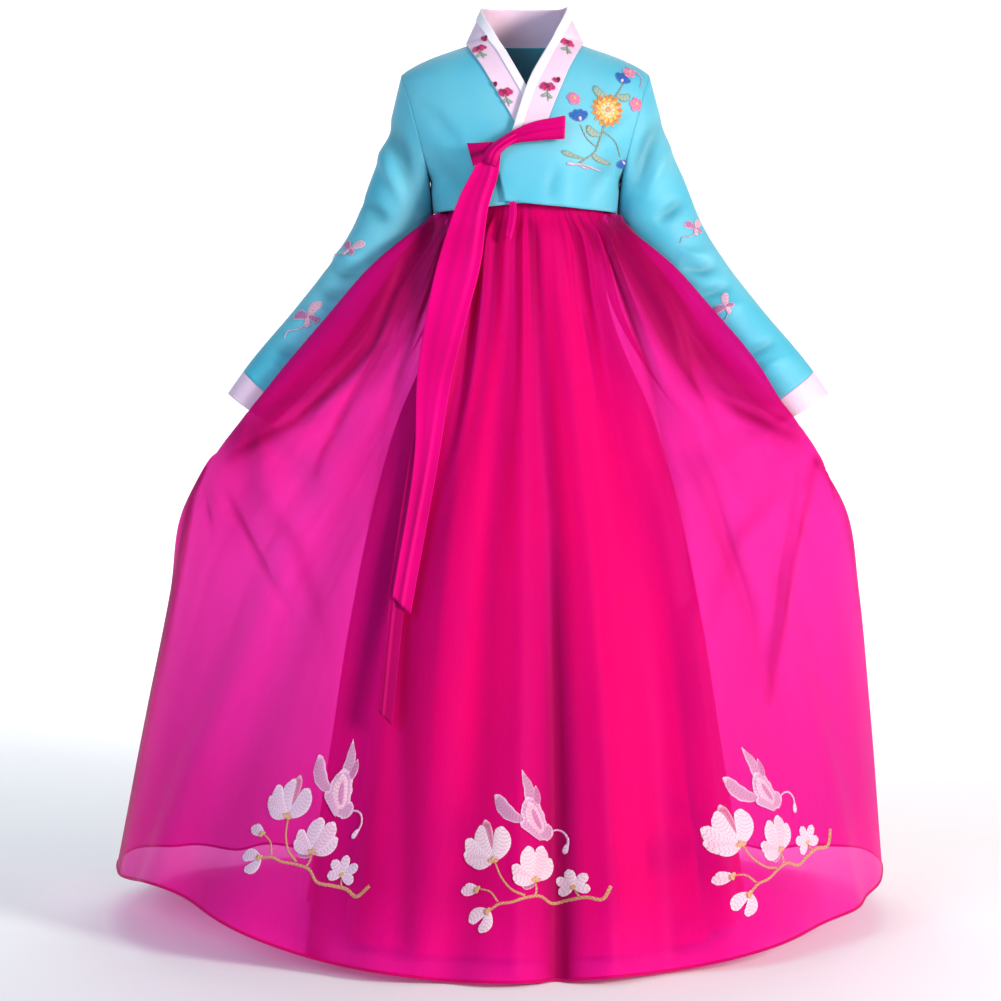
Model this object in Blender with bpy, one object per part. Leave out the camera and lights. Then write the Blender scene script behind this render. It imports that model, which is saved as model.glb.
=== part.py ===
"""A hanbok as worn: a short wrapped jacket (jeogori) over a full gathered skirt (chima).

Sizes are in metres. +Z is up, the front faces -Y and +X is the viewer's right.
The origin lies between the shoulders at the base of the neck, where the wearer carries it.
A height below the origin is called a drop. A turn goes once round a piece, from 0 at the
front centre towards +X, and a share goes once down it.
"""

import bpy
import numpy as np

# Walls and seams
SILK = 0.0020  # jacket cloth with its lining
ORGANZA = 0.0012  # outer skirt
TAFFETA = 0.0014  # inner skirt
BAND = 0.0026  # stiffened waistband
RIBBON = 0.0012
SEAM = 0.0003  # gap between two pieces sewn together
LAID = 0.0004  # gap under a piece that lies on another
LOOSE = 0.0012  # gap under one that lies loosely, or that is curved more than what it lies on
ARMHOLE_GAP = 0.0014  # at the outer face, so that the inner corners stay apart

# Jacket
SHOULDER_DROP = 0.054
UNDERARM_DROP = 0.215
HEM_DROP_SIDE = 0.262
HEM_DROP_CENTRE = 0.249
NECK_HALF = 0.080  # from the midline to where the shoulder seam ends, under the collar
OVERLAP_LIFT = 0.0062  # the outer front rides over the inner front, its collar and strip
ROUNDNESS = 2.4  # exponent of the trunk's sections: 2 is an ellipse, more is squarer

# Skirt
WAIST_DROP = 0.205
SKIRT_LENGTH = 1.20
TUCKED = 0.0105  # how far inside the jacket the skirt lies
TUCK_SHARE = 0.050  # where it comes out from under the jacket's hem
GATHERS = 36
FOLDS = 18
COLUMNS = 4 * GATHERS
HAND_OUT, HAND_Y, HAND_Z = 0.409, -0.125, -0.561  # where each side is held out

# The trunk under the jacket: drop, half width, depth to the front, depth to the back
TRUNK = (
    (0.000, 0.060, 0.045, 0.058),
    (0.010, 0.088, 0.052, 0.064),
    (0.032, 0.150, 0.068, 0.078),
    (0.055, 0.190, 0.082, 0.090),
    (0.080, 0.200, 0.094, 0.098),
    (0.120, 0.201, 0.108, 0.104),
    (0.165, 0.186, 0.117, 0.105),
    (0.195, 0.163, 0.1195, 0.104),
    (0.215, 0.147, 0.120, 0.103),
    (0.235, 0.1435, 0.121, 0.102),
    (0.270, 0.1420, 0.122, 0.101),
)

# The armhole seen from the front: drop, distance out
ARMHOLE = ((0.054, 0.190), (0.080, 0.181), (0.120, 0.170), (0.165, 0.158), (0.195, 0.150), (0.215, 0.147))

# Where the front panels end, under the collar and at the overlap: share, x towards the
# panel's own side, drop
OUTER_EDGE = (
    (0.00, NECK_HALF, 0.006),
    (0.30, 0.050, 0.060),
    (0.60, 0.024, 0.122),
    (0.66, 0.012, 0.140),
    (0.72, -0.024, 0.152),
    (1.00, -0.034, HEM_DROP_CENTRE),
)
INNER_EDGE = (
    (0.00, NECK_HALF, 0.006),
    (0.30, 0.045, 0.060),
    (0.60, 0.008, 0.122),
    (0.70, -0.012, 0.152),
    (1.00, -0.026, HEM_DROP_CENTRE),
)

# The collar band. share runs from the end under the overlap, round the neck, to the outer
# end. First the neck edge, then the edge that lies on the jacket.
COLLAR = (
    # share, neck x, y, z, outer x, y, z
    (0.00, 0.024, -0.108, -0.118, -0.006, -0.116, -0.150),
    (0.07, 0.002, -0.100, -0.080, -0.026, -0.110, -0.115),
    (0.20, -0.034, -0.066, -0.016, -0.063, -0.080, -0.052),
    (0.34, -0.064, -0.012, 0.043, -0.088, -0.010, -0.009),
    (0.42, -0.048, 0.042, 0.048, -0.068, 0.058, -0.012),
    (0.50, 0.000, 0.061, 0.050, 0.000, 0.072, -0.020),
    (0.58, 0.048, 0.042, 0.048, 0.068, 0.058, -0.012),
    (0.66, 0.060, -0.012, 0.045, 0.086, -0.010, -0.007),
    (0.79, 0.034, -0.066, -0.014, 0.064, -0.080, -0.052),
    (0.92, 0.000, -0.100, -0.080, 0.036, -0.110, -0.120),
    (1.00, -0.021, -0.110, -0.146, 0.022, -0.118, -0.160),
)
STRIP_SHARE = 0.29  # width of the white strip, as a share of the collar's

# The sleeve's sections: share, outer x, z, inner x, z, middle y, half depth
SLEEVE = (
    (0.145, 0.2185, -0.160, 0.1448, -0.262, 0.000, 0.060),
    (0.250, 0.2400, -0.214, 0.1505, -0.304, -0.004, 0.057),
    (0.380, 0.2660, -0.282, 0.1850, -0.355, -0.012, 0.054),
    (0.510, 0.3000, -0.338, 0.2240, -0.410, -0.025, 0.051),
    (0.680, 0.3500, -0.404, 0.2790, -0.475, -0.040, 0.047),
    (0.930, 0.4330, -0.505, 0.3610, -0.564, -0.062, 0.041),
    (1.000, 0.4560, -0.538, 0.3840, -0.586, -0.070, 0.039),
)
SLEEVE_LENGTH = 0.505
CUFF_SHARE = 0.93

# The skirt's lines from waist to hem, one for each turn: share, distance out, y, z.
# "seat" is the angle round the waist where the line starts. The line at a quarter turn is
# the side fold: it runs over the front of the forearm to the hand, and then down.
SKIRT_LINES = {
    0.00: dict(
        seat=0,
        rows=(
            (0.090, 0.000, -0.130, -0.300),
            (0.165, 0.000, -0.156, -0.393),
            (0.300, 0.000, -0.205, -0.550),
            (0.500, 0.000, -0.285, -0.778),
            (0.750, 0.000, -0.385, -1.060),
            (1.000, 0.000, -0.470, -1.345),
        ),
    ),
    0.13: dict(
        seat=38,
        rows=(
            (0.090, 0.108, -0.108, -0.300),
            (0.165, 0.132, -0.136, -0.390),
            (0.300, 0.178, -0.180, -0.550),
            (0.400, 0.222, -0.206, -0.668),
            (0.500, 0.275, -0.232, -0.790),
            (0.750, 0.365, -0.284, -1.060),
            (1.000, 0.435, -0.322, -1.312),
        ),
    ),
    0.21: dict(
        seat=60,
        rows=(
            (0.090, 0.140, -0.092, -0.300),
            (0.165, 0.196, -0.124, -0.380),
            (0.260, 0.254, -0.142, -0.478),
            (0.340, 0.306, -0.152, -0.556),
            (0.400, 0.346, -0.160, -0.622),
            (0.475, 0.386, -0.164, -0.704),
            (0.550, 0.418, -0.164, -0.780),
            (0.660, 0.456, -0.164, -0.890),
            (0.810, 0.510, -0.156, -1.050),
            (1.000, 0.568, -0.140, -1.290),
        ),
    ),
    0.25: dict(
        seat=72,
        rows=(
            (0.090, 0.168, -0.084, -0.286),
            (0.165, 0.233, -0.100, -0.337),
            (0.260, 0.307, -0.108, -0.427),
            (0.340, 0.368, -0.118, -0.502),
            (0.400, HAND_OUT, HAND_Y, HAND_Z),
            (0.475, 0.458, -0.095, -0.639),
            (0.550, 0.505, -0.065, -0.715),
            (0.660, 0.530, -0.040, -0.845),
            (0.810, 0.560, -0.020, -1.030),
            (1.000, 0.597, 0.000, -1.283),
        ),
    ),
    0.28: dict(
        seat=84,
        rows=(
            (0.090, 0.140, -0.030, -0.302),
            (0.165, 0.172, -0.048, -0.385),
            (0.260, 0.246, -0.056, -0.490),
            (0.340, 0.320, -0.066, -0.572),
            (0.400, 0.372, -0.072, -0.630),
            (0.475, 0.440, -0.045, -0.706),
            (0.550, 0.482, -0.010, -0.775),
            (0.660, 0.516, 0.040, -0.885),
            (0.810, 0.556, 0.080, -1.050),
            (1.000, 0.586, 0.100, -1.286),
        ),
    ),
    0.37: dict(
        seat=122,
        rows=(
            (0.090, 0.114, 0.086, -0.304),
            (0.165, 0.134, 0.088, -0.396),
            (0.300, 0.195, 0.088, -0.560),
            (0.400, 0.255, 0.098, -0.672),
            (0.500, 0.325, 0.135, -0.800),
            (0.750, 0.410, 0.220, -1.070),
            (1.000, 0.440, 0.290, -1.325),
        ),
    ),
    0.50: dict(
        seat=180,
        rows=(
            (0.090, 0.000, 0.110, -0.305),
            (0.165, 0.000, 0.130, -0.396),
            (0.300, 0.000, 0.172, -0.556),
            (0.500, 0.000, 0.242, -0.785),
            (0.750, 0.000, 0.332, -1.068),
            (1.000, 0.000, 0.410, -1.345),
        ),
    ),
}
SKIRT_ROWS = (0.0, 0.025, 0.05, 0.09, 0.165, 0.26, 0.34, 0.40, 0.475, 0.55, 0.66, 0.81, 1.0)
# How far the whole skirt leans to -X: share, lean
LEAN = ((0.0, 0.0), (0.34, 0.001), (0.40, 0.005), (0.55, 0.016), (0.66, 0.016), (0.81, 0.025), (1.0, 0.039))
# Depth of the waves: share, gathers, folds
WAVES = (
    (0.000, 0.0015, 0.000),
    (0.050, 0.0025, 0.000),
    (0.090, 0.0055, 0.001),
    (0.200, 0.0065, 0.004),
    (0.400, 0.0045, 0.008),
    (0.600, 0.0025, 0.011),
    (1.000, 0.0010, 0.017),
)

# The inner skirt: drop, half width, depth to the front, depth to the back, fold depth
INNER_SKIRT = (
    (0.205, 0.1262, 0.1040, 0.0868, 0.0003),
    (0.262, 0.1200, 0.1000, 0.0812, 0.0010),
    (0.400, 0.124, 0.120, 0.094, 0.0030),
    (0.600, 0.198, 0.176, 0.132, 0.0060),
    (0.900, 0.284, 0.262, 0.205, 0.0090),
    (1.100, 0.312, 0.312, 0.252, 0.0110),
    (1.336, 0.332, 0.366, 0.305, 0.0130),
)
INNER_ROWS = 9
# The waistband: drop, half width, depth to the front, depth to the back
WAISTBAND = (
    (0.1250, 0.128, 0.1061, 0.096),
    (0.1650, 0.129, 0.1095, 0.095),
    (0.2045, 0.1284, 0.1062, 0.0892),
)
INNER_COLUMNS = 64
INNER_FOLDS = 16

# The tie ribbons: share, x, z, half width. Their y comes from what they lie on.
LONG_TAIL = (
    (0.00, -0.052, -0.1838, 0.014),
    (0.08, -0.063, -0.215, 0.019),
    (0.16, -0.078, -0.252, 0.023),
    (0.27, -0.097, -0.333, 0.031),
    (0.40, -0.117, -0.415, 0.030),
    (0.52, -0.134, -0.500, 0.026),
    (0.70, -0.146, -0.621, 0.018),
    (1.00, -0.181, -0.834, 0.015),
)
UNDER_TAIL = (
    (0.00, -0.057, -0.193, 0.012),
    (0.25, -0.104, -0.350, 0.018),
    (0.50, -0.146, -0.560, 0.014),
    (0.75, -0.182, -0.780, 0.012),
    (1.00, -0.203, -0.990, 0.010),
)
TAIL_ROWS = 26
TAILS_APART = 0.0018
KNOT = dict(x=-0.044, y=-0.1290, z=-0.170, half_width=0.017, half_height=0.014, half_depth=0.0065)
LOOP = dict(reach=0.055, rise=0.030, half_root=0.011, half_end=0.0175, layers_apart=0.0075)
SHORT_END = dict(reach=-0.090, fall=-0.012, half_root=0.008, half_end=0.016)

COLOURS = {
    # red, green, blue, roughness
    "aqua_satin": (0.22, 0.66, 0.80, 0.45),
    "lilac_satin": (0.72, 0.66, 0.82, 0.5),
    "white_strip": (0.95, 0.93, 0.97, 0.55),
    "pink_organza": (0.78, 0.02, 0.24, 0.5),
    "pink_taffeta": (0.75, 0.0, 0.14, 0.55),
    "pink_ribbon": (0.90, 0.0, 0.22, 0.5),
    "waistband_cotton": (0.85, 0.55, 0.68, 0.8),
}


def clear_scene():
    for item in list(bpy.data.objects):
        bpy.data.objects.remove(item)


def material(name):
    found = bpy.data.materials.get(name)
    if found:
        return found
    made = bpy.data.materials.new(name)
    made.use_nodes = True
    shader = made.node_tree.nodes["Principled BSDF"]
    red, green, blue, roughness = COLOURS[name]
    shader.inputs["Base Color"].default_value = (red, green, blue, 1.0)
    shader.inputs["Roughness"].default_value = roughness
    shader.inputs["Metallic"].default_value = 0.0
    made.diffuse_color = (red, green, blue, 1.0)
    return made


def curve(table, at):
    """Values at the places `at` of a smooth curve through a table whose first column rises."""
    table = np.asarray(table, float)
    at = np.asarray(at, float)
    knots = table[:, 0]
    values = table[:, 1:]
    step = np.diff(knots)[:, None]
    rise = np.diff(values, axis=0) / step
    slope = np.concatenate([rise[:1], rise[:1], rise[1:]])
    slope[1:-1] = (rise[:-1] * step[1:] + rise[1:] * step[:-1]) / (step[1:] + step[:-1])
    slope[-1] = rise[-1]
    cell = np.clip(np.searchsorted(knots, at, side="right") - 1, 0, len(step) - 1)
    width = step[cell]
    t = (np.clip(at, knots[0], knots[-1]) - knots[cell])[..., None] / width
    start = values[cell] * (1 + 2 * t) * (1 - t) ** 2 + slope[cell] * width * t * (1 - t) ** 2
    end = values[cell + 1] * t**2 * (3 - 2 * t) - slope[cell + 1] * width * t**2 * (1 - t)
    return start + end


def ease(low, high, at):
    """0 below low, 1 above high, smooth between."""
    t = np.clip((np.asarray(at, float) - low) / (high - low), 0, 1)
    return t * t * (3 - 2 * t)


def unit(vectors):
    return vectors / np.maximum(np.linalg.norm(vectors, axis=-1, keepdims=True), 1e-12)


def grid_normals(points, closed=False):
    """Unit normals of a grid whose rows run down a piece and whose columns run round it."""
    down = np.gradient(points, axis=0)
    if closed:
        across = np.roll(points, -1, axis=1) - np.roll(points, 1, axis=1)
    else:
        across = np.gradient(points, axis=1)
    return unit(np.cross(down, across))


def wall(name, cloth, outer, inner, closed=False):
    """One closed solid between two grids of the same size, open rims filled."""
    rows, columns = outer.shape[:2]
    points = np.concatenate([outer.reshape(-1, 3), inner.reshape(-1, 3)])
    index = np.arange(rows * columns).reshape(rows, columns)
    if closed:
        index = np.concatenate([index, index[:, :1]], axis=1)
    other = index + rows * columns

    def strips(a, b, c, d):
        return np.stack([a, b, c, a, c, d], -1).reshape(-1, 3)

    faces = [
        strips(index[:-1, :-1], index[1:, :-1], index[1:, 1:], index[:-1, 1:]),
        strips(other[:-1, :-1], other[1:, :-1], other[1:, 1:], other[:-1, 1:])[:, ::-1],
        strips(index[0, :-1], index[0, 1:], other[0, 1:], other[0, :-1]),
        strips(index[-1, 1:], index[-1, :-1], other[-1, :-1], other[-1, 1:]),
    ]
    if not closed:
        faces.append(strips(index[1:, 0], index[:-1, 0], other[:-1, 0], other[1:, 0]))
        faces.append(strips(index[:-1, -1], index[1:, -1], other[1:, -1], other[:-1, -1]))
    faces = np.concatenate(faces)
    corner = points[faces]
    volume = np.einsum("ij,ij->i", corner[:, 0], np.cross(corner[:, 1], corner[:, 2])).sum()
    if volume < 0:
        faces = faces[:, ::-1]
    mesh = bpy.data.meshes.new(name)
    mesh.from_pydata(points.tolist(), [], faces.tolist())
    mesh.shade_smooth()
    mesh.materials.append(material(cloth))
    made = bpy.data.objects.new(name, mesh)
    bpy.context.scene.collection.objects.link(made)
    return made


def section(angle, half_width, front, back):
    """x and y on a trunk section at an angle from the front centre, in radians."""
    power = 2 / ROUNDNESS
    ahead = np.cos(angle)
    aside = np.sin(angle)
    depth = np.where(ahead > 0, front, back)
    return (
        half_width * np.sign(aside) * np.abs(aside) ** power,
        -depth * np.sign(ahead) * np.abs(ahead) ** power,
    )


def trunk_depth(x, z, forward):
    """How far the jacket stands from the side plane at x and z, to the front or the back."""
    half_width, front, back = np.moveaxis(curve(TRUNK, -z), -1, 0)
    rest = np.clip(1 - np.minimum(np.abs(x) / half_width, 1) ** ROUNDNESS, 0, 1)
    return np.where(forward, front, back) * rest ** (1 / ROUNDNESS)


# Jacket


def shoulder_drop(x):
    """Drop of the shoulder seam, which lies on the trunk's outline, at a distance out."""
    drops = np.linspace(0, SHOULDER_DROP, 100)
    return np.interp(x, curve(TRUNK, drops)[:, 0], drops)


def side_drops(edge_rows=10, side_rows=2):
    """Drops of the panel rows at the outer edge: down the armhole, close together at both
    its ends, and then down the side seam."""
    turn = np.pi * np.arange(edge_rows + 1) / edge_rows
    armhole = SHOULDER_DROP + (UNDERARM_DROP - SHOULDER_DROP) * (1 - np.cos(turn)) / 2
    side = np.linspace(UNDERARM_DROP, HEM_DROP_SIDE, side_rows + 1)[1:]
    return np.concatenate([armhole, side])


def outer_x(drop):
    """Distance out of the armhole and the side seam."""
    return np.where(drop <= UNDERARM_DROP, curve(ARMHOLE, drop)[:, 0], curve(TRUNK, drop)[:, 0])


def seam_flat(normals, points):
    """Turns the normals at the shoulder and side seams into the plane between the panels."""
    turned = normals.copy()
    turned[np.abs(points[..., 1]) < 0.002, 1] = 0
    return unit(turned)


def overlap_lift(x, side):
    return OVERLAP_LIFT * (1 - ease(0.045, 0.105, x)) * (side > 0)


def front_grid(side, columns=9):
    """The outer face of a front. side is 1 for the outer front, on +X, and -1 for the inner."""
    drop = side_drops()
    share = (drop - drop[0]) / (drop[-1] - drop[0])
    edge = curve(OUTER_EDGE if side > 0 else INNER_EDGE, share)
    across = np.linspace(0, 1, columns) ** 0.9
    x = edge[:, :1] + (outer_x(drop)[:, None] - edge[:, :1]) * across
    fall = edge[:, 1:] + (drop[:, None] - edge[:, 1:]) * across
    fall += (shoulder_drop(x[0]) - fall[0]) * (1 - ease(0, 0.3, share))[:, None]
    y = -trunk_depth(x, -fall, True) - overlap_lift(x, side)
    y[0] = 0
    return np.stack([side * x, y - SEAM / 2, -fall], -1)


def back_grid(columns=15):
    """The outer face of the back, from -X to +X."""
    drop = side_drops()
    share = (drop - drop[0]) / (drop[-1] - drop[0])
    across = np.linspace(-1, 1, columns)
    x = outer_x(drop)[:, None] * across
    top = shoulder_drop(np.maximum(np.abs(x[0]), NECK_HALF))
    z = -(top + (HEM_DROP_SIDE - top) * share[:, None])
    y = trunk_depth(x, z, False)
    y[0, np.abs(x[0]) > NECK_HALF] = 0
    return np.stack([x, y + SEAM / 2, z], -1)


def panel(name, cloth, outer, thickness):
    """A jacket panel, its wall on the inner side of the grid."""
    normals = seam_flat(grid_normals(outer), outer)
    if (normals[..., :2] * outer[..., :2]).sum() < 0:
        normals = -normals
    return wall(name, cloth, outer, outer - thickness * normals)


def armhole_ring(side):
    """The armhole's points: top, down the front, bottom, up the back."""
    front = front_grid(side)[:, -1]
    back = back_grid()[:, -1 if side > 0 else 0]
    rows = len(side_drops()) - 2
    ring = np.concatenate([front[:rows], back[rows - 2 : 0 : -1]])
    ring[[0, rows - 1], 1] = 0
    return ring


def sleeve_grid(side, shares):
    """Rings of the sleeve, from the armhole's own points to the oval of the cuff."""
    ring = armhole_ring(side)
    turn = 2 * np.pi * np.arange(len(ring)) / len(ring)
    keys = [np.concatenate([[0.0], ring.ravel()])]
    for share, outer_at, outer_z, inner_at, inner_z, middle_y, half_depth in SLEEVE:
        outer = np.array([side * outer_at, middle_y, outer_z])
        inner = np.array([side * inner_at, middle_y, inner_z])
        oval = (outer + inner) / 2 + np.cos(turn)[:, None] * (outer - inner) / 2
        oval[:, 1] -= half_depth * np.sin(turn)
        keys.append(np.concatenate([[share], oval.ravel()]))
    return curve(keys, shares).reshape(len(shares), len(ring), 3)


def tube(name, cloth, outer, thickness):
    normals = grid_normals(outer, closed=True)
    if (normals * (outer - outer.mean(axis=1, keepdims=True))).sum() < 0:
        normals = -normals
    return wall(name, cloth, outer, outer - thickness * normals, closed=True)


def make_jacket():
    panel("jeogori_front_outer", "aqua_satin", front_grid(1), SILK)
    panel("jeogori_front_inner", "aqua_satin", front_grid(-1), SILK)
    panel("jeogori_back", "aqua_satin", back_grid(), SILK)
    start = ARMHOLE_GAP / SLEEVE_LENGTH
    half_seam = SEAM / 2 / SLEEVE_LENGTH
    along = np.concatenate([[start], np.linspace(0.06, CUFF_SHARE - half_seam, 11)])
    cuff = np.linspace(CUFF_SHARE + half_seam, 1.0, 3)
    for side, where in ((1, "right"), (-1, "left")):
        tube(f"sleeve_{where}", "aqua_satin", sleeve_grid(side, along), SILK)
        tube(f"cuff_{where}", "lilac_satin", sleeve_grid(side, cuff), SILK)


# Collar


def collar_faces(shares, across):
    """The collar's line of contact as a grid, and its outward normals. The rows of `across`
    run from 0 at the neck edge to 1 on the jacket. On the chest it follows the fronts."""
    edges = curve(COLLAR, shares)
    across = np.asarray(across)[:, None, None]
    points = edges[None, :, :3] * (1 - across) + edges[None, :, 3:] * across
    x = points[..., 0]
    z = points[..., 2]
    own_side = np.where(shares > 0.5, 1, -1)
    chest = trunk_depth(x, z, True) + overlap_lift(own_side * x, own_side)
    on_chest = ease(-0.005, 0.028, -z) * (points[..., 1] < 0)
    points[..., 1] += on_chest * (-chest - points[..., 1])
    normals = grid_normals(points)
    away = points - np.array([0.0, 0.0, -0.10])
    return points, normals * np.sign((normals * away).sum())


def make_collar():
    shares = np.linspace(0, 1, 33)
    strip_rows = (0, STRIP_SHARE / 2, STRIP_SHARE)
    points, normals = collar_faces(shares, strip_rows + (0.53, 0.77, 1.0))
    low = points + LOOSE * normals
    wall("collar", "lilac_satin", low + SILK * normals, low)
    low = (low + (SILK + LAID) * normals)[: len(strip_rows), 1:]
    wall("collar_strip", "white_strip", low + RIBBON * normals[: len(strip_rows), 1:], low)


# Skirt


def waist_ring(angle, drop, inset):
    half_width, front, back = curve(TRUNK, drop)
    return section(angle, min(half_width, 0.142) - inset, front - inset, back - inset)


def skirt_net(shares):
    """The skirt's smooth form as a grid, a column for each of COLUMNS turns."""
    lines = []
    for turn, line in SKIRT_LINES.items():
        rows = []
        for share in (0.0, TUCK_SHARE):
            drop = WAIST_DROP + share * SKIRT_LENGTH
            x, y = waist_ring(np.radians(line["seat"]), drop, TUCKED)
            rows.append((share, x, y, -drop))
        lines.append((turn, curve(rows + list(line["rows"]), shares)))
    mirror = np.array([-1, 1, 1])
    around = [(-turn, points * mirror) for turn, points in lines[:0:-1]] + lines
    before = [(turn - 1, points) for turn, points in around[-4:-1]]
    after = [(turn + 1, points) for turn, points in around[1:4]]
    keys = [np.concatenate([[turn], points.ravel()]) for turn, points in before + around + after]
    turns = np.arange(COLUMNS) / COLUMNS
    turns = np.where(turns > 0.5, turns - 1, turns)
    points = curve(keys, turns).reshape(COLUMNS, len(shares), 3).transpose(1, 0, 2)
    points[..., 0] -= curve(LEAN, shares)
    return points, turns


def held_taut(turns, shares):
    """1 along the side folds, where the hands stretch the cloth, falling to 0 around them."""
    near_fold = np.exp(-(((np.abs(turns) - 0.245) / 0.055) ** 2))
    return near_fold[None] * (ease(0.05, 0.10, shares) * (1 - ease(0.42, 0.85, shares)))[:, None]


def swags(points):
    """Soft folds that fan out from each hand across the front."""
    depth = np.zeros(points.shape[:2])
    for side in (1, -1):
        away = points - np.array([side * HAND_OUT, HAND_Y, HAND_Z])
        reach = np.linalg.norm(away, axis=-1)
        angle = np.arctan2(-away[..., 2], -side * away[..., 0])
        fan = np.exp(-(((reach - 0.15) / 0.08) ** 2)) * (away[..., 1] < 0.03)
        depth += 0.006 * fan * np.cos(9 * angle + 0.6)
    return depth


def skirt_grid(shares):
    points, turns = skirt_net(shares)
    normals = grid_normals(points, closed=True)
    gather_depth, fold_depth = curve(WAVES, shares).T
    uneven = 0.8 + 0.2 * np.sin(2 * np.pi * 7 * turns + 1.1)
    gathers = gather_depth[:, None] * uneven * np.cos(2 * np.pi * GATHERS * turns)
    drift = 0.008 * np.sin(2 * np.pi * 5 * turns) + 0.005 * np.sin(2 * np.pi * 3 * turns + 0.7)
    folds = fold_depth[:, None] * np.cos(2 * np.pi * FOLDS * (turns + drift))
    waves = (gathers + folds) * (1 - 0.85 * held_taut(turns, shares)) + swags(points)
    points = points + waves[..., None] * normals
    return points, grid_normals(points, closed=True)


def cut_panels(names, cloth, points, normals, thickness):
    """Cuts a closed grid into equal panels, the first centred on the front, with seam gaps."""
    columns = points.shape[1]
    each = columns // len(names)
    for place, name in enumerate(names):
        picked = (np.arange(each + 1) + place * each - each // 2) % columns
        outer = points[:, picked].copy()
        outer[:, 0] += SEAM / 2 * unit(outer[:, 1] - outer[:, 0])
        outer[:, -1] += SEAM / 2 * unit(outer[:, -2] - outer[:, -1])
        wall(name, cloth, outer, outer - thickness * normals[:, picked])


def inner_skirt_grid():
    flare = np.linspace(HEM_DROP_SIDE, INNER_SKIRT[-1][0], INNER_ROWS - 1)
    drops = np.concatenate([[WAIST_DROP], flare])
    turns = np.arange(INNER_COLUMNS) / INNER_COLUMNS
    half_width, front, back, fold = curve(INNER_SKIRT, drops).T[:, :, None]
    x, y = section(2 * np.pi * turns, half_width, front, back)
    points = np.stack([x, y, np.broadcast_to(-drops[:, None], x.shape)], -1)
    wave = fold * np.cos(2 * np.pi * INNER_FOLDS * turns)
    points = points + wave[..., None] * grid_normals(points, closed=True)
    return points, grid_normals(points, closed=True)


def make_skirt():
    points, normals = skirt_grid(np.array(SKIRT_ROWS))
    names = ["front", "side_front_right", "side_back_right", "back", "side_back_left", "side_front_left"]
    cut_panels([f"chima_outer_{name}" for name in names], "pink_organza", points, normals, ORGANZA)
    inner, normals = inner_skirt_grid()
    names = ["front", "right", "back", "left"]
    cut_panels([f"chima_inner_{name}" for name in names], "pink_taffeta", inner, normals, TAFFETA)


def make_waistband():
    """The band that both skirts are sewn to. The jacket hides it and lies against its top."""
    drops, half_width, front, back = np.transpose(WAISTBAND)
    angle = 2 * np.pi * np.arange(36) / 36
    x, y = section(angle, half_width[:, None], front[:, None], back[:, None])
    points = np.stack([x, y, np.broadcast_to(-drops[:, None], y.shape)], -1)
    tube("chima_waistband", "waistband_cotton", points, BAND)


# Tie ribbons


def tail_reach(height):
    """The least and the greatest x of the two tails at a height."""
    sides = [
        np.interp(-height, -z, x + way * half)
        for _, x, z, half in (np.transpose(LONG_TAIL), np.transpose(UNDER_TAIL))
        for way in (-1, 1)
    ]
    return min(sides), max(sides)


def resting_line(skirt):
    """z, and the y just in front of the jacket and the skirt where the tails hang."""
    heights = np.linspace(-0.15, -1.02, 60)
    front = np.full(len(heights), -np.inf)
    for row, height in enumerate(heights):
        low, high = tail_reach(height)
        if height > -HEM_DROP_SIDE - 0.028:
            across = np.linspace(low, high, 9)
            jacket = trunk_depth(across, np.full(9, max(height, -HEM_DROP_SIDE)), True)
            front[row] = (jacket + overlap_lift(across, 1)).max()
        near = (skirt[..., 0] > low - 0.015) & (skirt[..., 0] < high + 0.015)
        near &= np.abs(skirt[..., 2] - height) < 0.02
        if near.any() and height < -HEM_DROP_CENTRE:
            front[row] = max(front[row], -skirt[..., 1][near].min())
    widest = [front[max(0, row - 1) : row + 2].max() for row in range(len(front))]
    return heights, -np.convolve(np.pad(widest, 2, mode="edge"), np.ones(5) / 5, "valid")


def tail_grid(table, line, clear, columns=4):
    """A ribbon hanging down the front, clear of what it lies on."""
    x, z, half = curve(table, np.linspace(0, 1, TAIL_ROWS)).T
    along = unit(np.gradient(np.stack([x, z], -1), axis=0))
    across = np.linspace(-1, 1, columns) * half[:, None]
    across_x = x[:, None] - along[:, 1:] * across
    across_z = z[:, None] + along[:, :1] * across
    y = np.interp(-across_z, -line[0], line[1]) - clear
    return np.stack([across_x, y, across_z], -1)


def make_ribbons():
    skirt, _ = skirt_grid(np.linspace(0, 1, 90))
    line = resting_line(skirt)
    under = tail_grid(UNDER_TAIL, line, LAID + RIBBON)
    wall("goreum_under_tail", "pink_ribbon", under, under + [0, RIBBON, 0])
    long = tail_grid(LONG_TAIL, line, LAID + 2 * RIBBON + TAILS_APART)
    wall("goreum_long_tail", "pink_ribbon", long, long + [0, RIBBON, 0])
    make_loop()
    make_short_end()
    make_knot()


def make_loop():
    """A bow loop: the ribbon goes out from the knot, turns and comes back behind itself."""
    start = KNOT["x"] + KNOT["half_width"] + SEAM
    half_gap = LOOP["layers_apart"] / 2
    run = np.linspace(start, LOOP["reach"] - half_gap, 8)
    turn = np.linspace(-np.pi / 2, np.pi / 2, 7)[1:-1]
    x = np.concatenate([run, LOOP["reach"] - half_gap + half_gap * np.cos(turn), run[::-1]])
    y = np.concatenate([np.full(8, -half_gap), half_gap * np.sin(turn), np.full(8, half_gap)])
    share = np.clip((x - start) / (LOOP["reach"] - start), 0, 1)
    half = LOOP["half_root"] + (LOOP["half_end"] - LOOP["half_root"]) * ease(0, 0.8, share)
    middle = KNOT["z"] + 0.004 + LOOP["rise"] * share
    z = middle + np.linspace(1, -1, 4)[:, None] * half
    face = np.stack([np.broadcast_to(x, z.shape), np.broadcast_to(KNOT["y"] - 0.0007 + y, z.shape), z], -1)
    inward = np.stack([np.zeros_like(x), -y, np.zeros_like(x)], -1)
    inward[8:-8, 0] = LOOP["reach"] - half_gap - x[8:-8]
    wall("goreum_loop", "pink_ribbon", face, face + RIBBON * unit(inward))


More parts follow.
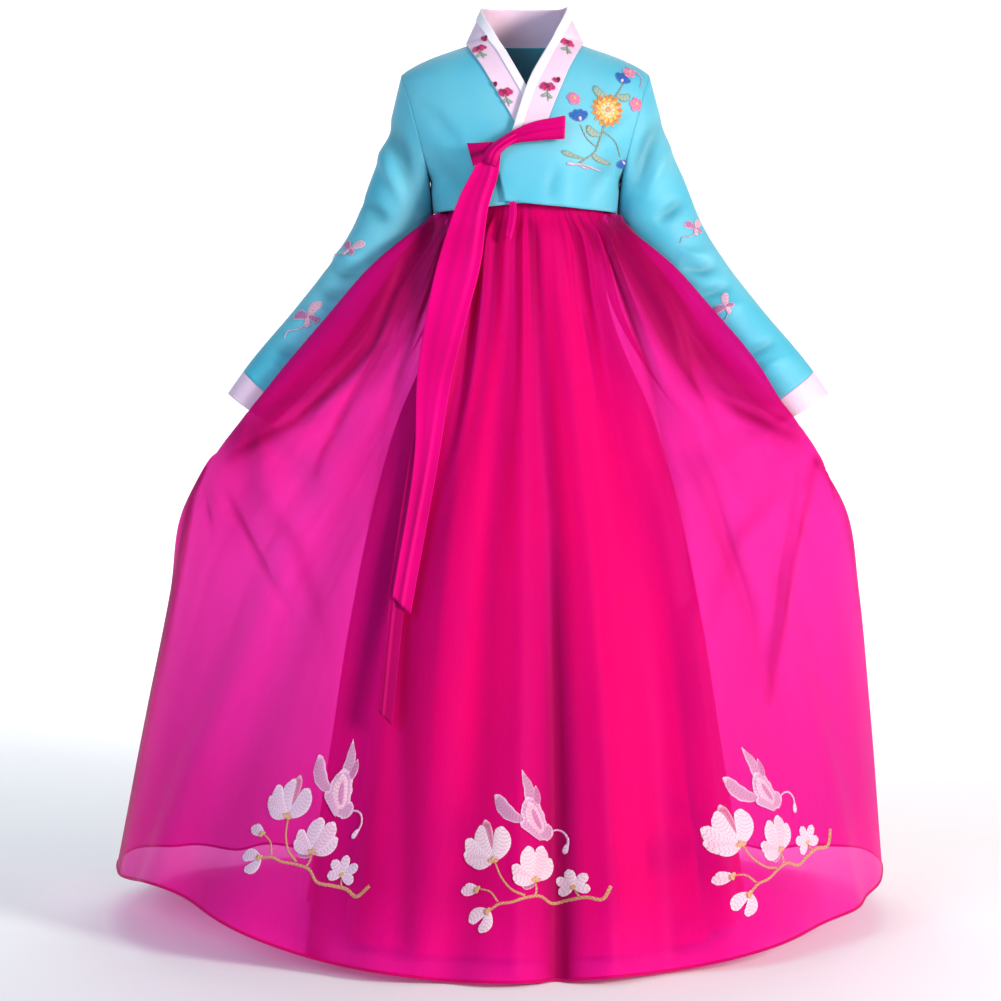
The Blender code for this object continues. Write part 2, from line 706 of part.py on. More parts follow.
def make_short_end():
    start = KNOT["x"] - KNOT["half_width"] - SEAM
    share = np.linspace(0, 1, 7)
    x = start + (SHORT_END["reach"] - start) * share
    half = SHORT_END["half_root"] + (SHORT_END["half_end"] - SHORT_END["half_root"]) * share
    z = KNOT["z"] + SHORT_END["fall"] * share + np.linspace(1, -1, 4)[:, None] * half
    y = KNOT["y"] - 0.0022 + 0.002 * np.sin(np.pi * share)
    face = np.stack([np.broadcast_to(x, z.shape), np.broadcast_to(y, z.shape), z], -1)
    wall("goreum_short_end", "pink_ribbon", face, face + [0, RIBBON, 0])


def make_knot():
    """The knot: the ribbon wrapped round itself, a fat rounded ring of cloth seen end on."""
    around = np.linspace(0, 2 * np.pi, 17)[:-1]
    across = np.linspace(-1, 1, 7)
    swell = np.sqrt(1 - (0.93 * across) ** 2)[:, None]
    y = KNOT["y"] + KNOT["half_depth"] * swell * np.cos(around)
    x = np.broadcast_to(KNOT["x"] + KNOT["half_width"] * across[:, None], y.shape)
    z = KNOT["z"] + KNOT["half_height"] * (0.55 + 0.45 * swell) * np.sin(around)
    tube("goreum_knot", "pink_ribbon", np.stack([x, y, z], -1), RIBBON)


clear_scene()
make_jacket()
make_collar()
make_waistband()
make_skirt()
make_ribbons()
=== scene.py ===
import math

import bpy
import numpy as np
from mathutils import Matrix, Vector


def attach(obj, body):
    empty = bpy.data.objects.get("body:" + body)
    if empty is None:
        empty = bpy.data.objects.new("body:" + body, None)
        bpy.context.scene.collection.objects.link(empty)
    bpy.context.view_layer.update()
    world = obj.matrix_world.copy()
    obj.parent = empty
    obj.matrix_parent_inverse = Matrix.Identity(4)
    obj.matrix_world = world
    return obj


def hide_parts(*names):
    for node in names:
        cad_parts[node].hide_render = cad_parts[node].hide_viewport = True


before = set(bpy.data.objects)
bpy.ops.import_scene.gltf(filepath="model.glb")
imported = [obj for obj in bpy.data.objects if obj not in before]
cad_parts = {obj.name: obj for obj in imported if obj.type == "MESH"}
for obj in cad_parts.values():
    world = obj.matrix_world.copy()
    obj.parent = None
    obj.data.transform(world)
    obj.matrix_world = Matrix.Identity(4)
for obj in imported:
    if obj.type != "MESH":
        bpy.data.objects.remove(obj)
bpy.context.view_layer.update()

print("frame loaded")

# Metres throughout, but the tables hold millimetres, and their shares and turns are thousandths.
# The front faces -Y, +X is the viewer's right, and the origin lies between the shoulders. A turn
# goes once round a piece from its front centre, a share goes once down it.
floorHeight = -1.35


# Curves and grids


# a table's rows over 1000: metres from millimetres, and shares from thousandths
def milli(*rows):
    return np.array(rows, float) / 1000


# a smooth cubic curve through a table whose first column rises, at the places in at
def smoothCurve(table, at):
    table = np.asarray(table, float)
    at = np.asarray(at, float)
    knots, values = table[:, 0], table[:, 1:]
    step = np.diff(knots)[:, None]
    rise = np.diff(values, axis=0) / step
    slope = np.concatenate([rise[:1], rise[:1], rise[1:]])
    slope[1:-1] = (rise[:-1] * step[1:] + rise[1:] * step[:-1]) / (step[1:] + step[:-1])
    slope[-1] = rise[-1]
    cell = np.clip(np.searchsorted(knots, at, side="right") - 1, 0, len(step) - 1)
    width = step[cell]
    t = (np.clip(at, knots[0], knots[-1]) - knots[cell])[..., None] / width
    start = values[cell] * (1 + 2 * t) * (1 - t) ** 2 + slope[cell] * width * t * (1 - t) ** 2
    end = values[cell + 1] * t**2 * (3 - 2 * t) - slope[cell + 1] * width * t**2 * (1 - t)
    return start + end


# 0 below low, 1 above high, and three squares less two cubes of the share between
def ease(low, high, at):
    t = np.clip((np.asarray(at, float) - low) / (high - low), 0, 1)
    return t * t * (3 - 2 * t)


# 1 at the middle, falling away on both sides as a bell
def bell(at, middle, width):
    return np.exp(-(((np.asarray(at, float) - middle) / width) ** 2))


# a wave that runs so many times round a turn, from a start in radians
def wave(times, turns, start=0.0):
    return np.sin(2 * np.pi * times * turns + start)


# each vector over its own length
def unit(vectors):
    return vectors / np.maximum(np.linalg.norm(vectors, axis=-1, keepdims=True), 1e-12)


# unit normals of a grid: the cross product of its slopes down and across
def gridNormals(points, closed=False):
    if closed:
        across = np.roll(points, -1, axis=1) - np.roll(points, 1, axis=1)
    else:
        across = np.gradient(points, axis=1)
    return unit(np.cross(np.gradient(points, axis=0), across))


# values of a grid at fractional rows and columns, straight between its four neighbours
def sampleGrid(grid, row, column, closed=False):
    rows, columns = grid.shape[:2]
    row = np.clip(row, 0, rows - 1.001)
    column = np.mod(column, columns) if closed else np.clip(column, 0, columns - 1.001)
    r, c = np.floor(row).astype(int), np.floor(column).astype(int) % columns
    after = (c + 1) % columns
    s, t = (row - r)[..., None], (column - np.floor(column))[..., None]
    top = grid[r, c] * (1 - t) + grid[r, after] * t
    low = grid[r + 1, c] * (1 - t) + grid[r + 1, after] * t
    return top * (1 - s) + low * s


# Soft creases. A line is a row of its depths at the start, middle and end, its widths to the left
# and right of the way it runs, and the x and z of its places. Its depth falls away as a bell
def creaseDepth(points, lines):
    depth = np.zeros(points.shape[:2])
    for line in lines:
        depths, widths, path = np.split(np.array(line, float) / 1000, (3, 5))
        path = path.reshape(-1, 2)
        run = np.diff(path, axis=0)
        length = np.linalg.norm(run, axis=1)
        away = points[..., None, ::2] - path[:-1]
        along = np.clip((away * run).sum(-1) / length**2, 0, 1)
        distance = np.linalg.norm(away - along[..., None] * run, axis=-1)
        side = run[:, 0] * away[..., 1] - run[:, 1] * away[..., 0]
        reach = np.cumsum(length) - length + along * length
        nearest = distance.argmin(-1)[..., None]
        distance, side, reach = (
            np.take_along_axis(values, nearest, -1)[..., 0] for values in (distance, side, reach)
        )
        height = smoothCurve(np.column_stack([(0, 0.5, 1), depths]), reach / length.sum())[..., 0]
        depth += height * bell(distance, 0, np.where(side > 0, *widths))
    return depth


# moves a grid out along its normals
def pushed(points, depth, normals):
    return points + depth[..., None] * normals


# Meshes


# a smooth object from points and quads, with a UV map that says where each quad's corners lie
def quadObject(name, points, quads, material, uv=None):
    mesh = bpy.data.meshes.new(name)
    mesh.from_pydata(points.reshape(-1, 3).tolist(), [], quads.tolist())
    if uv is not None:
        mesh.uv_layers.new(name="cloth").data.foreach_set("uv", uv.astype(np.float32).ravel())
    mesh.shade_smooth()
    mesh.materials.append(material)
    made = bpy.data.objects.new(name, mesh)
    bpy.context.scene.collection.objects.link(made)
    return made


# the quads of a grid of vertex numbers, or the values at their corners
def gridCorners(grid):
    return np.stack([grid[:-1, :-1], grid[1:, :-1], grid[1:, 1:], grid[:-1, 1:]], 2)


# An object of quads over a grid. The UV map holds metres along the cloth, across and down. A closed
# grid joins its last column to the first, and a ring joins its last row to the first as well
def clothObject(name, points, material, outward, closed=False, ring=False, thickness=0.0, foldedAndShaded=None):
    index = np.arange(points[..., 0].size).reshape(points.shape[:2])
    around = points
    if closed:
        index, around = (np.concatenate([grid, grid[:, :1]], axis=1) for grid in (index, around))
    if ring:
        index, around = (np.concatenate([grid, grid[:1]]) for grid in (index, around))
    across = np.linalg.norm(np.diff(around, axis=1), axis=2)[: len(points)].mean(0)
    down = np.linalg.norm(np.diff(around, axis=0), axis=2)[:, : points.shape[1]].mean(1)
    place = np.meshgrid(np.append(0, np.cumsum(across)), -np.append(0, np.cumsum(down)))
    quads, uv = gridCorners(index).reshape(-1, 4), gridCorners(np.stack(place, -1)).reshape(-1, 4, 2)
    if (gridNormals(points, closed) * outward).sum() < 0:
        quads, uv = quads[:, ::-1], uv[:, ::-1]
    made = quadObject(name, points, quads, material, uv)
    # the attribute holds painted shade in creases and folds; on the organza it also marks where the cloth is
    # doubled and denser
    if foldedAndShaded is not None:
        values = np.asarray(foldedAndShaded, np.float32).ravel()
        made.data.attributes.new("foldedAndShaded", "FLOAT", "POINT").data.foreach_set("value", values)
    if thickness:
        shell = made.modifiers.new("thickness", "SOLIDIFY")
        shell.thickness = thickness
        shell.offset = -1
    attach(made, "root")
    return made


# hides a cloth's solid in the frame. Its material slot and the flat cut of what shows are not used
def declareSheet(made, node, slot, **cut):
    if node:
        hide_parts(node)


# Materials


class Socket:
    def __init__(self, maker, socket):
        self.maker = maker
        self.socket = socket

    def math(self, operation, first, second=0.0):  # one sum on two values
        return self.maker.node("Math", {0: first, 1: second}, operation=operation)[0]

    def __add__(self, other):
        return self.math("ADD", self, other)

    __radd__ = __add__

    def __sub__(self, other):
        return self.math("SUBTRACT", self, other)

    def __rsub__(self, other):
        return self.math("SUBTRACT", other, self)

    def __mul__(self, other):
        return self.math("MULTIPLY", self, other)

    __rmul__ = __mul__

    def threads(self, perMetre):  # a sine with so many waves a metre
        return self.math("SINE", self * (2 * math.pi * perMetre))

    def above(self, low, high):  # 0 below low, 1 above high
        sockets = {"Value": self, "From Min": low, "From Max": high}
        return self.maker.node("MapRange", sockets, interpolation_type="SMOOTHSTEP")[0]


# a Principled material whose gloss and sheen have one tint
class Finish:
    def __init__(self, name, gloss, sheen=0.0, sheenRoughness=0.5, tint=(1, 1, 1)):
        self.material = bpy.data.materials.new(name)
        self.material.use_nodes = True
        self.tree = self.material.node_tree
        self.shader = self.tree.nodes["Principled BSDF"]
        fixed = {"Specular IOR Level": gloss, "Specular Tint": (*tint, 1), "Sheen Weight": sheen,
                 "Sheen Roughness": sheenRoughness, "Sheen Tint": (*tint, 1)}
        for key, value in fixed.items():
            self.shader.inputs[key].default_value = value

    # any node: its kind, its sockets' values or links, and the settings that are set first
    def node(self, kind, sockets={}, **settings):
        made = self.tree.nodes.new("ShaderNode" + kind)
        for key, value in settings.items():
            setattr(made, key, value)
        for key, value in sockets.items():
            if isinstance(value, Socket):
                self.tree.links.new(value.socket, made.inputs[key])
            else:
                made.inputs[key].default_value = value
        return [Socket(self, output) for output in made.outputs]

    # the first colour where the factor is 0, the second where it is 1
    def mix(self, factor, *colours, blend="MIX"):
        first, second = (colour if isinstance(colour, Socket) else (*colour, 1.0) for colour in colours)
        return self.node("Mix", {0: factor, 6: first, 7: second}, data_type="RGBA", blend_type=blend)[2]

    def attribute(self, name):  # colour, vector, value and alpha of a mesh attribute
        return self.node("Attribute", attribute_name=name)

    # the UV map, and metres across and down the cloth
    def clothPlace(self):
        place = self.node("UVMap", uv_map="cloth")[0]
        return place, *self.node("SeparateXYZ", {0: place})[:2]

    def objectPlace(self):  # metres in the scene
        return self.node("TexCoord")[3]

    # soft noise from 0 to 1, stretched by a scale along each axis
    def noise(self, vector, scale, detail=2.0, stretch=None):
        if stretch:
            vector = self.node("Mapping", {"Vector": vector, "Scale": stretch})[0]
        return self.node("TexNoise", {"Vector": vector, "Scale": scale, "Detail": detail})[0]

    # a normal that leans by the slope of a height
    def bump(self, height, strength, distance):
        return self.node("Bump", {"Height": height, "Strength": strength, "Distance": distance})[0]

    # links values to the shader's inputs of those names, with _ for a space
    def feed(self, **links):
        for key, value in links.items():
            self.tree.links.new(value.socket, self.shader.inputs[key.replace("_", " ")])
        return self.material


# plain or figured silk: warp and weft threads, slubs and a soft change of shade. Where its attribute
# holds painted shade, in creases and folds, it is darker
def silkFinish(name, colour, shade, roughness=0.42, perMetre=900, twill=1.0, gloss=0.4, tint=(1, 1, 1),
               shadedFolds=False):
    finish = Finish(name, gloss, 0.2, 0.35, tint)
    place, across, down = finish.clothPlace()
    weft = down.threads(perMetre)
    warp = (across + down * twill).threads(perMetre)
    slub = finish.noise(place, 40.0, 3.0, (1.0, 14.0, 1.0))
    cloud = finish.noise(finish.objectPlace(), 7.0)
    tone = finish.mix(cloud.above(0.3, 0.75), colour, shade)
    tone = finish.mix(weft * warp * 0.06 + slub * 0.12, tone, tuple(0.55 * c for c in shade))
    # painted shade: darker in the creases and folds that the attribute marks
    if shadedFolds:
        tone = finish.mix(finish.attribute("foldedAndShaded")[2], tone, tuple(0.12 * c for c in shade))
    height = weft * 0.5 + warp * 0.5 + slub * 1.5
    return finish.feed(Base_Color=tone, Roughness=slub * 0.16 + (roughness - 0.08),
                       Normal=finish.bump(height, 0.35, 0.0002))


pinkGloss = (1.0, 0.08, 0.42)  # colour of the highlights on the pink silks


# Sheer organza: a tinted veil behind threads with gaps between them. An attribute says where the cloth is
# doubled, which is denser and darker, and so is the front near its hem. The attribute also holds painted
# shade along the folds
def organzaFinish(name, colour, shade, tint, cover, hemCover):
    finish = Finish(name, 0.4, 0.08, 0.3, pinkGloss)
    place, across, down = finish.clothPlace()
    warp, weft = across.threads(700), down.threads(700)
    slub = finish.noise(place, 30.0, 3.0, (12.0, 1.0, 1.0))
    foldedAndShaded = finish.attribute("foldedAndShaded")[2]
    cloud = finish.noise(finish.objectPlace(), 4.0)
    tone = finish.mix(cloud.above(0.3, 0.7), colour, shade)
    # painted shade: darker along the folds that the attribute marks
    tone = finish.mix(foldedAndShaded, tone, (0.40 * shade[0], 0, 0.24 * shade[2]))
    finish.feed(Base_Color=tone, Roughness=slub * 0.2 + 0.45,
                Normal=finish.bump(warp * 0.5 + weft * 0.5 + slub * 2.0, 0.2, 0.0002))
    ahead = 0.0 - finish.node("SeparateXYZ", {0: finish.objectPlace()})[1]
    nearHem = (0.0 - down).above(1.05, 1.25) * ahead.above(-0.06, 0.04)
    solid = foldedAndShaded * (0.92 - cover) + nearHem * hemCover + 0.05 * (warp * weft) + 0.10 * (slub - 0.5) + cover
    veil = finish.node("BsdfTransparent", {"Color": (*tint, 1.0)})[0]
    blend = finish.node("MixShader", {0: solid, 1: veil, 2: Socket(finish, finish.shader.outputs[0])})[0]
    finish.tree.links.new(blend.socket, finish.tree.nodes["Material Output"].inputs["Surface"])
    return finish.material


# embroidery silk: the colour comes with each stitch, the UV map runs along the threads
def stitchFinish(name):
    finish = Finish(name, 0.5, 0.4, 0.3)
    place, across, down = finish.clothPlace()
    thread = across.threads(1100)
    grain = finish.noise(place, 900.0, 2.0, (1.0, 0.12, 1.0))
    rows = (down + across.threads(210) * 0.0008).threads(190).above(0.35, 1.0)
    colour = finish.attribute("thread")
    tone = finish.mix(thread * 0.10 + grain * 0.20, colour[0], (0.40, 0.26, 0.34), blend="MULTIPLY")
    tone = finish.mix(rows * 0.6, tone, (0.66, 0.42, 0.58), blend="MULTIPLY")
    return finish.feed(Base_Color=tone, Alpha=colour[3], Roughness=grain * 0.3 + 0.35,
                       Normal=finish.bump(thread + grain * 0.8 - rows * 1.5, 0.5, 0.0003))


aqua = silkFinish("aquaSatin", (0.15, 0.53, 0.66), (0.06, 0.46, 0.62), 0.45, gloss=0.45, shadedFolds=True)
lilac = silkFinish("lilacSatin", (0.92, 0.66, 0.80), (0.84, 0.58, 0.74))
stripSilk = silkFinish("whiteStripSilk", (0.95, 0.87, 0.91), (0.90, 0.81, 0.88), 0.5, twill=0.0)
ribbonSilk = silkFinish("pinkRibbonSilk", (0.76, 0, 0.18), (0.64, 0, 0.14), twill=0.0, tint=pinkGloss,
                        shadedFolds=True)
taffeta = silkFinish("pinkTaffeta", (0.98, 0, 0.04), (0.88, 0, 0.035), 0.5, twill=0.0, tint=pinkGloss,
                     shadedFolds=True)
bandCotton = silkFinish("waistbandCotton", (0.80, 0.38, 0.54), (0.74, 0.32, 0.48), 0.8, 500, gloss=0.2)
organza = organzaFinish("pinkOrganza", (0.90, 0.002, 0.25), (0.80, 0.002, 0.26), (0.90, 0.22, 0.66),
                        0.42, 0.34)
rolledHem = silkFinish("rolledHemSilk", (0.60, 0, 0.11), (0.50, 0, 0.10), 0.5, tint=pinkGloss)
stitchSilk = stitchFinish("embroiderySilk")
print("materials made")


# The trunk under the jacket


jacket = dict(
    thickness=0.0019,
    shoulderDrop=0.054,
    underarmDrop=0.215,
    hemDropSide=0.2655,
    hemDropCentre=0.249,
    neckHalf=0.080,
    overlapLift=0.0062,
    roundness=2.4,
    seam=0.0003,
    armholeRows=54,
    sideRows=14,
    # drop, half width, depth to the front, depth to the back
    trunk=milli(
        (0, 60, 45, 58), (10, 88, 52, 64), (32, 150, 68, 78), (55, 190, 82, 90), (80, 200, 94, 98),
        (120, 201, 108, 104), (165, 186, 117, 105), (195, 163, 119.5, 104), (215, 147, 120, 103),
        (235, 145.5, 121, 102), (270, 142, 122, 101),
    ),
    # drop, distance out
    armhole=milli((54, 190), (80, 181), (120, 170), (165, 158), (195, 150), (215, 147)),
    # where the fronts end: share, x towards the panel's own side, drop
    outerEdge=milli(
        (0, 80, 6), (300, 50, 60), (600, 24, 122), (660, 12, 140), (720, -24, 152), (1000, -34, 249),
    ),
    innerEdge=milli(
        (0, 80, 6), (300, 45, 60), (600, 8, 122), (700, -12, 152), (1000, -26, 249),
    ),
    frontFolds=(
        (0, -3, -1, 10, 14, 150, -165, 120, -205, 85, -252),
        (0, 2.2, 0.8, 12, 10, 152, -190, 128, -225, 108, -258),
        (0, -2.6, 0, 9, 12, 165, -105, 130, -130, 95, -170),
        (1, 2, 0, 12, 12, 60, -262, 66, -225, 72, -180),
        (1.6, -2, 0, 9, 9, 30, -262, 36, -230, 50, -190),
        (0, -2.8, -0.8, 14, 10, -152, -160, -118, -205, -80, -252),
        (0, 2.2, 0.6, 10, 12, -150, -190, -130, -222, -112, -258),
        (0, -2.4, 0, 10, 12, -170, -95, -135, -120, -98, -170),
        (0, 1.8, 0, 10, 10, -100, -120, -88, -170, -70, -220),
    ),
    backFolds=(
        (0, -3, -1.2, 14, 11, 152, -150, 115, -190, 60, -250),
        (0, 2.2, 0, 12, 12, 150, -120, 105, -150, 50, -190),
        (0, -2.8, -1.2, 11, 14, -152, -155, -120, -195, -70, -252),
        (0, 2.2, 0, 12, 12, -150, -115, -100, -150, -45, -185),
        (1, -2.2, 0, 12, 12, 10, -262, 6, -200, 0, -130),
        (0, -2, 0, 10, 16, -110, -55, -60, -85, 0, -98),
    ),
)


# x and y of a superellipse at an angle from the front centre
def section(angle, halfWidth, front, back):
    power = 2 / jacket["roundness"]
    ahead, aside = np.cos(angle), np.sin(angle)
    depth = np.where(ahead > 0, front, back)
    return (
        halfWidth * np.sign(aside) * np.abs(aside) ** power,
        -depth * np.sign(ahead) * np.abs(ahead) ** power,
    )


# how far the jacket stands from the side plane at x and z, to the front or the back: the same
# superellipse, solved for its depth
def trunkDepth(x, z, forward):
    halfWidth, front, back = np.moveaxis(smoothCurve(jacket["trunk"], -z), -1, 0)
    rest = np.clip(1 - np.minimum(np.abs(x) / halfWidth, 1) ** jacket["roundness"], 0, 1)
    return np.where(forward, front, back) * rest ** (1 / jacket["roundness"])


# the drop at which the trunk is as wide as x
def shoulderDrop(x):
    drops = np.linspace(0, jacket["shoulderDrop"], 100)
    return np.interp(x, smoothCurve(jacket["trunk"], drops)[:, 0], drops)


# drops and shares of the panel rows at the outer edge: down the armhole, close together at both its
# ends, then down the side seam
def sideDrops():
    turn = np.pi * np.arange(jacket["armholeRows"] + 1) / jacket["armholeRows"]
    top, low = jacket["shoulderDrop"], jacket["underarmDrop"]
    side = np.linspace(low, jacket["hemDropSide"], jacket["sideRows"] + 1)[1:]
    drop = np.concatenate([top + (low - top) * (1 - np.cos(turn)) / 2, side])
    return drop, (drop - drop[0]) / (drop[-1] - drop[0])


# the armhole's distance out, and below it the trunk's half width
def outerX(drop):
    armhole = smoothCurve(jacket["armhole"], drop)[:, 0]
    return np.where(drop <= jacket["underarmDrop"], armhole, smoothCurve(jacket["trunk"], drop)[:, 0])


# how far the outer front stands off the inner one, fading towards its side
def overlapLift(x, side):
    return jacket["overlapLift"] * (1 - ease(0.045, 0.105, x)) * (side > 0)


# a front: straight lines from its inner edge out to the armhole, laid on the trunk
def frontGrid(side, columns=56):
    drop, share = sideDrops()
    edge = smoothCurve(jacket["outerEdge" if side > 0 else "innerEdge"], share)
    across = np.linspace(0, 1, columns) ** 0.9
    x = edge[:, :1] + (outerX(drop)[:, None] - edge[:, :1]) * across
    fall = edge[:, 1:] + (drop[:, None] - edge[:, 1:]) * across
    fall += (shoulderDrop(x[0]) - fall[0]) * (1 - ease(0, 0.3, share))[:, None]
    y = -trunkDepth(x, -fall, True) - overlapLift(x, side)
    y[0] = 0
    return np.stack([side * x, y - jacket["seam"] / 2, -fall], -1)


# the back: level lines from armhole to armhole, laid on the trunk, with the neck cut out
def backGrid(columns=91):
    drop, share = sideDrops()
    x = outerX(drop)[:, None] * np.linspace(-1, 1, columns)
    top = shoulderDrop(np.maximum(np.abs(x[0]), jacket["neckHalf"]))
    z = -(top + (jacket["hemDropSide"] - top) * share[:, None])
    y = trunkDepth(x, z, False)
    y[0, np.abs(x[0]) > jacket["neckHalf"]] = 0
    return np.stack([x, y + jacket["seam"] / 2, z], -1)


# how much darker the bottom of a crease is, up to 6 mm deep
def creaseShade(depth):
    return 0.30 * np.clip(-depth / 0.006, 0, 1)


# a panel with its creases and a small ripple along its hem, both calm at its side edges, and painted shade in
# its creases
def jacketPanel(name, points, folds, node, **cut):
    normals = gridNormals(points)
    normals[np.abs(points[..., 1]) < 0.002, 1] = 0
    normals = unit(normals)
    if (normals[..., :2] * points[..., :2]).sum() < 0:
        normals = -normals
    edge = np.linspace(0, 1, points.shape[1])
    calm = ease(0, 0.10, edge) * (1 - ease(0.90, 1, edge))
    ripple = 0.0010 * ease(0.225, 0.262, -points[..., 2]) * np.sin(points[..., 0] * 95 + 0.6)
    depth = (creaseDepth(points, folds) + ripple) * calm
    points = pushed(points, depth, normals)
    # painted shade at the bottom of each crease, held in the attribute
    made = clothObject(name, points, aqua, normals, thickness=jacket["thickness"], foldedAndShaded=creaseShade(depth))
    declareSheet(made, node, "aqua_satin", held="draped", **cut)
    return points


outerFront = jacketPanel("jacketFrontOuter", frontGrid(1), jacket["frontFolds"], "jeogori_front_outer",
                         flat=(0.27, 0.27), area=0.050)
jacketPanel("jacketFrontInner", frontGrid(-1), jacket["frontFolds"], "jeogori_front_inner",
            flat=(0.26, 0.27), area=0.048)
jacketPanel("jacketBack", backGrid(), jacket["backFolds"], "jeogori_back", flat=(0.42, 0.27), area=0.092)
print("jacket body made")


# Sleeves


sleeve = dict(
    length=0.505,
    cuffShare=0.93,
    gap=0.0004,
    thickness=0.0018,
    # share, outer x, z, inner x, z, middle y, half depth
    sections=milli(
        (145, 218.5, -160, 141.2, -262, 0, 60), (250, 240, -214, 143.5, -304, -4, 57),
        (380, 266, -282, 185, -355, -12, 54), (510, 300, -338, 224, -410, -25, 51),
        (680, 350, -404, 279, -475, -40, 47), (930, 433, -505, 361, -564, -62, 41),
        (1000, 456, -538, 384, -586, -70, 39),
    ),
    # folds at the elbow and the crook of the arm, for a sleeve on +X
    folds=(
        (0, -11.5, -3, 10, 14, 208, -118, 186, -175, 168, -220),
        (0, 7.5, 2, 9, 11, 222, -150, 202, -200, 184, -240),
        (0, -8, 0, 10, 9, 246, -240, 222, -260, 196, -280),
        (0, -7.2, 0, 8, 12, 300, -345, 268, -352, 232, -350),
        (0, 5.4, 0, 9, 9, 292, -325, 262, -330, 228, -325),
        (0, -6.3, 0, 10, 8, 318, -372, 284, -385, 252, -392),
        (0, 5.1, 0, 9, 10, 335, -398, 300, -412, 272, -425),
        (0, -5.4, 0, 9, 9, 385, -455, 355, -470, 318, -488),
        (0, 4.2, 0, 9, 9, 400, -480, 372, -495, 342, -515),
    ),
)


# the outer edges of a front and of the back, joined into one ring
def armholeRing(side):
    front = frontGrid(side)[:, -1]
    back = backGrid()[:, -1 if side > 0 else 0]
    rows = len(front) - jacket["sideRows"]
    ring = np.concatenate([front[:rows], back[rows - 2 : 0 : -1]])
    ring[[0, rows - 1], 1] = 0
    return ring


# rings that change from the armhole's own line to the oval of the cuff
def sleeveGrid(side, shares):
    ring = armholeRing(side)
    turn = 2 * np.pi * np.arange(len(ring)) / len(ring)
    keys = [np.append(0, ring)]
    for share, outerAt, outerZ, innerAt, innerZ, middleY, halfDepth in sleeve["sections"]:
        fuller = (0.006 if side > 0 else 0.003) * min(3 * share, 1)
        outer = np.array([side * outerAt + fuller, middleY, outerZ])
        inner = np.array([side * innerAt, middleY, innerZ])
        oval = (outer + inner) / 2 + np.cos(turn)[:, None] * (outer - inner) / 2
        oval[:, 1] -= halfDepth * np.sin(turn)
        keys.append(np.append(share, oval))
    return smoothCurve(keys, shares).reshape(len(shares), len(ring), 3)


# the left sleeve's folds mirror the right one's and lie a little further out and lower
def sleeveFolds(side):
    folds = np.array(sleeve["folds"], float)
    if side < 0:
        folds[:, 3:5] = folds[:, [4, 3]]
        folds[:, 5::2] = -folds[:, 5::2] - 6
        folds[:, 6::2] -= 4
    return folds


sleeveGrids = {}
halfSeam = jacket["seam"] / 2 / sleeve["length"]
sleeveShares = np.linspace(sleeve["gap"] / sleeve["length"], sleeve["cuffShare"] - halfSeam, 110)
cuffShares = np.linspace(sleeve["cuffShare"] + halfSeam, 1, 16)
for side, where in ((1, "right"), (-1, "left")):
    for part, shares, silk, slot, cut in (
        ("sleeve", sleeveShares, aqua, "aqua_satin", dict(flat=(0.34, 0.50), area=0.145)),
        ("cuff", cuffShares, lilac, "lilac_satin", dict(flat=(0.26, 0.036))),
    ):
        points = sleeveGrid(side, shares)
        normals = gridNormals(points, closed=True)
        if (normals * (points - points.mean(axis=1, keepdims=True))).sum() < 0:
            normals = -normals
        depth = np.zeros(points.shape[:2])
        if part == "sleeve":
            depth = creaseDepth(points, sleeveFolds(side)) * ease(0, 0.08, shares)[:, None]
        points = pushed(points, depth, normals)
        sleeveGrids[part, side] = points, normals
        # painted shade at the bottom of each crease, held in the attribute
        made = clothObject(f"{part}_{where}_cloth", points, silk, points - points.mean(axis=1, keepdims=True),
                           closed=True, thickness=sleeve["thickness"], foldedAndShaded=creaseShade(depth))
        declareSheet(made, f"{part}_{where}", slot, held="draped", **cut)
print("sleeves made")


# Collar


collarBand = dict(
    # share, neck edge x, y, z, outer edge x, y, z
    line=milli(
        (0, 24, -108, -118, -6, -116, -150), (70, 2, -100, -80, -26, -110, -115),
        (200, -34, -66, -16, -63, -80, -52), (340, -64, -12, 43, -88, -10, -9),
        (420, -48, 42, 48, -68, 58, -12), (500, 0, 61, 50, 0, 72, -20), (580, 48, 42, 48, 68, 58, -12),
        (660, 60, -12, 45, 86, -10, -7), (790, 34, -66, -14, 64, -80, -52),
        (920, 0, -100, -80, 36, -110, -120), (1000, -21, -110, -146, 22, -118, -160),
    ),
    stripShare=0.29,
    lift=0.0012,
    thickness=0.0020,
    stripLift=0.0004,
    stripThickness=0.0012,
    rows=25,
    columns=181,
    stripStart=5,
)


# straight across between its two edges, pressed onto the fronts where it lies on the chest
def collarGrid(shares, across):
    edges = smoothCurve(collarBand["line"], shares)
    across = across[:, None, None]
    points = edges[None, :, :3] * (1 - across) + edges[None, :, 3:] * across
    x, y, z = np.moveaxis(points, -1, 0)
    ownSide = np.where(shares > 0.5, 1, -1)
    chest = trunkDepth(x, z, True) + overlapLift(ownSide * x, ownSide)
    points[..., 1] += ease(-0.005, 0.028, -z) * (y < 0) * (-chest - y)
    normals = gridNormals(points)
    return points, normals * np.sign((normals * (points + (0, 0, 0.10))).sum())


# the band, and the strip laid on its inner part
collarShares = np.linspace(0, 1, collarBand["columns"])
collarPoints, collarNormals = collarGrid(collarShares, np.linspace(0, 1, collarBand["rows"]))
collarPoints = collarPoints + (collarBand["lift"] + collarBand["thickness"]) * collarNormals
made = clothObject("collarBand", collarPoints, lilac, collarNormals, thickness=collarBand["thickness"])
declareSheet(made, "collar", "lilac_satin", flat=(0.66, 0.06), held="draped", area=0.038)
stripAcross = np.linspace(0, collarBand["stripShare"], 9)
points, normals = collarGrid(collarShares[collarBand["stripStart"] :], stripAcross)
height = sum(collarBand[key] for key in ("lift", "thickness", "stripLift", "stripThickness"))
made = clothObject("collarStrip", points + height * normals, stripSilk, normals,
                   thickness=collarBand["stripThickness"])
declareSheet(made, "collar_strip", "white_strip", flat=(0.66, 0.017), held="draped")
print("collar made")


# The outer skirt


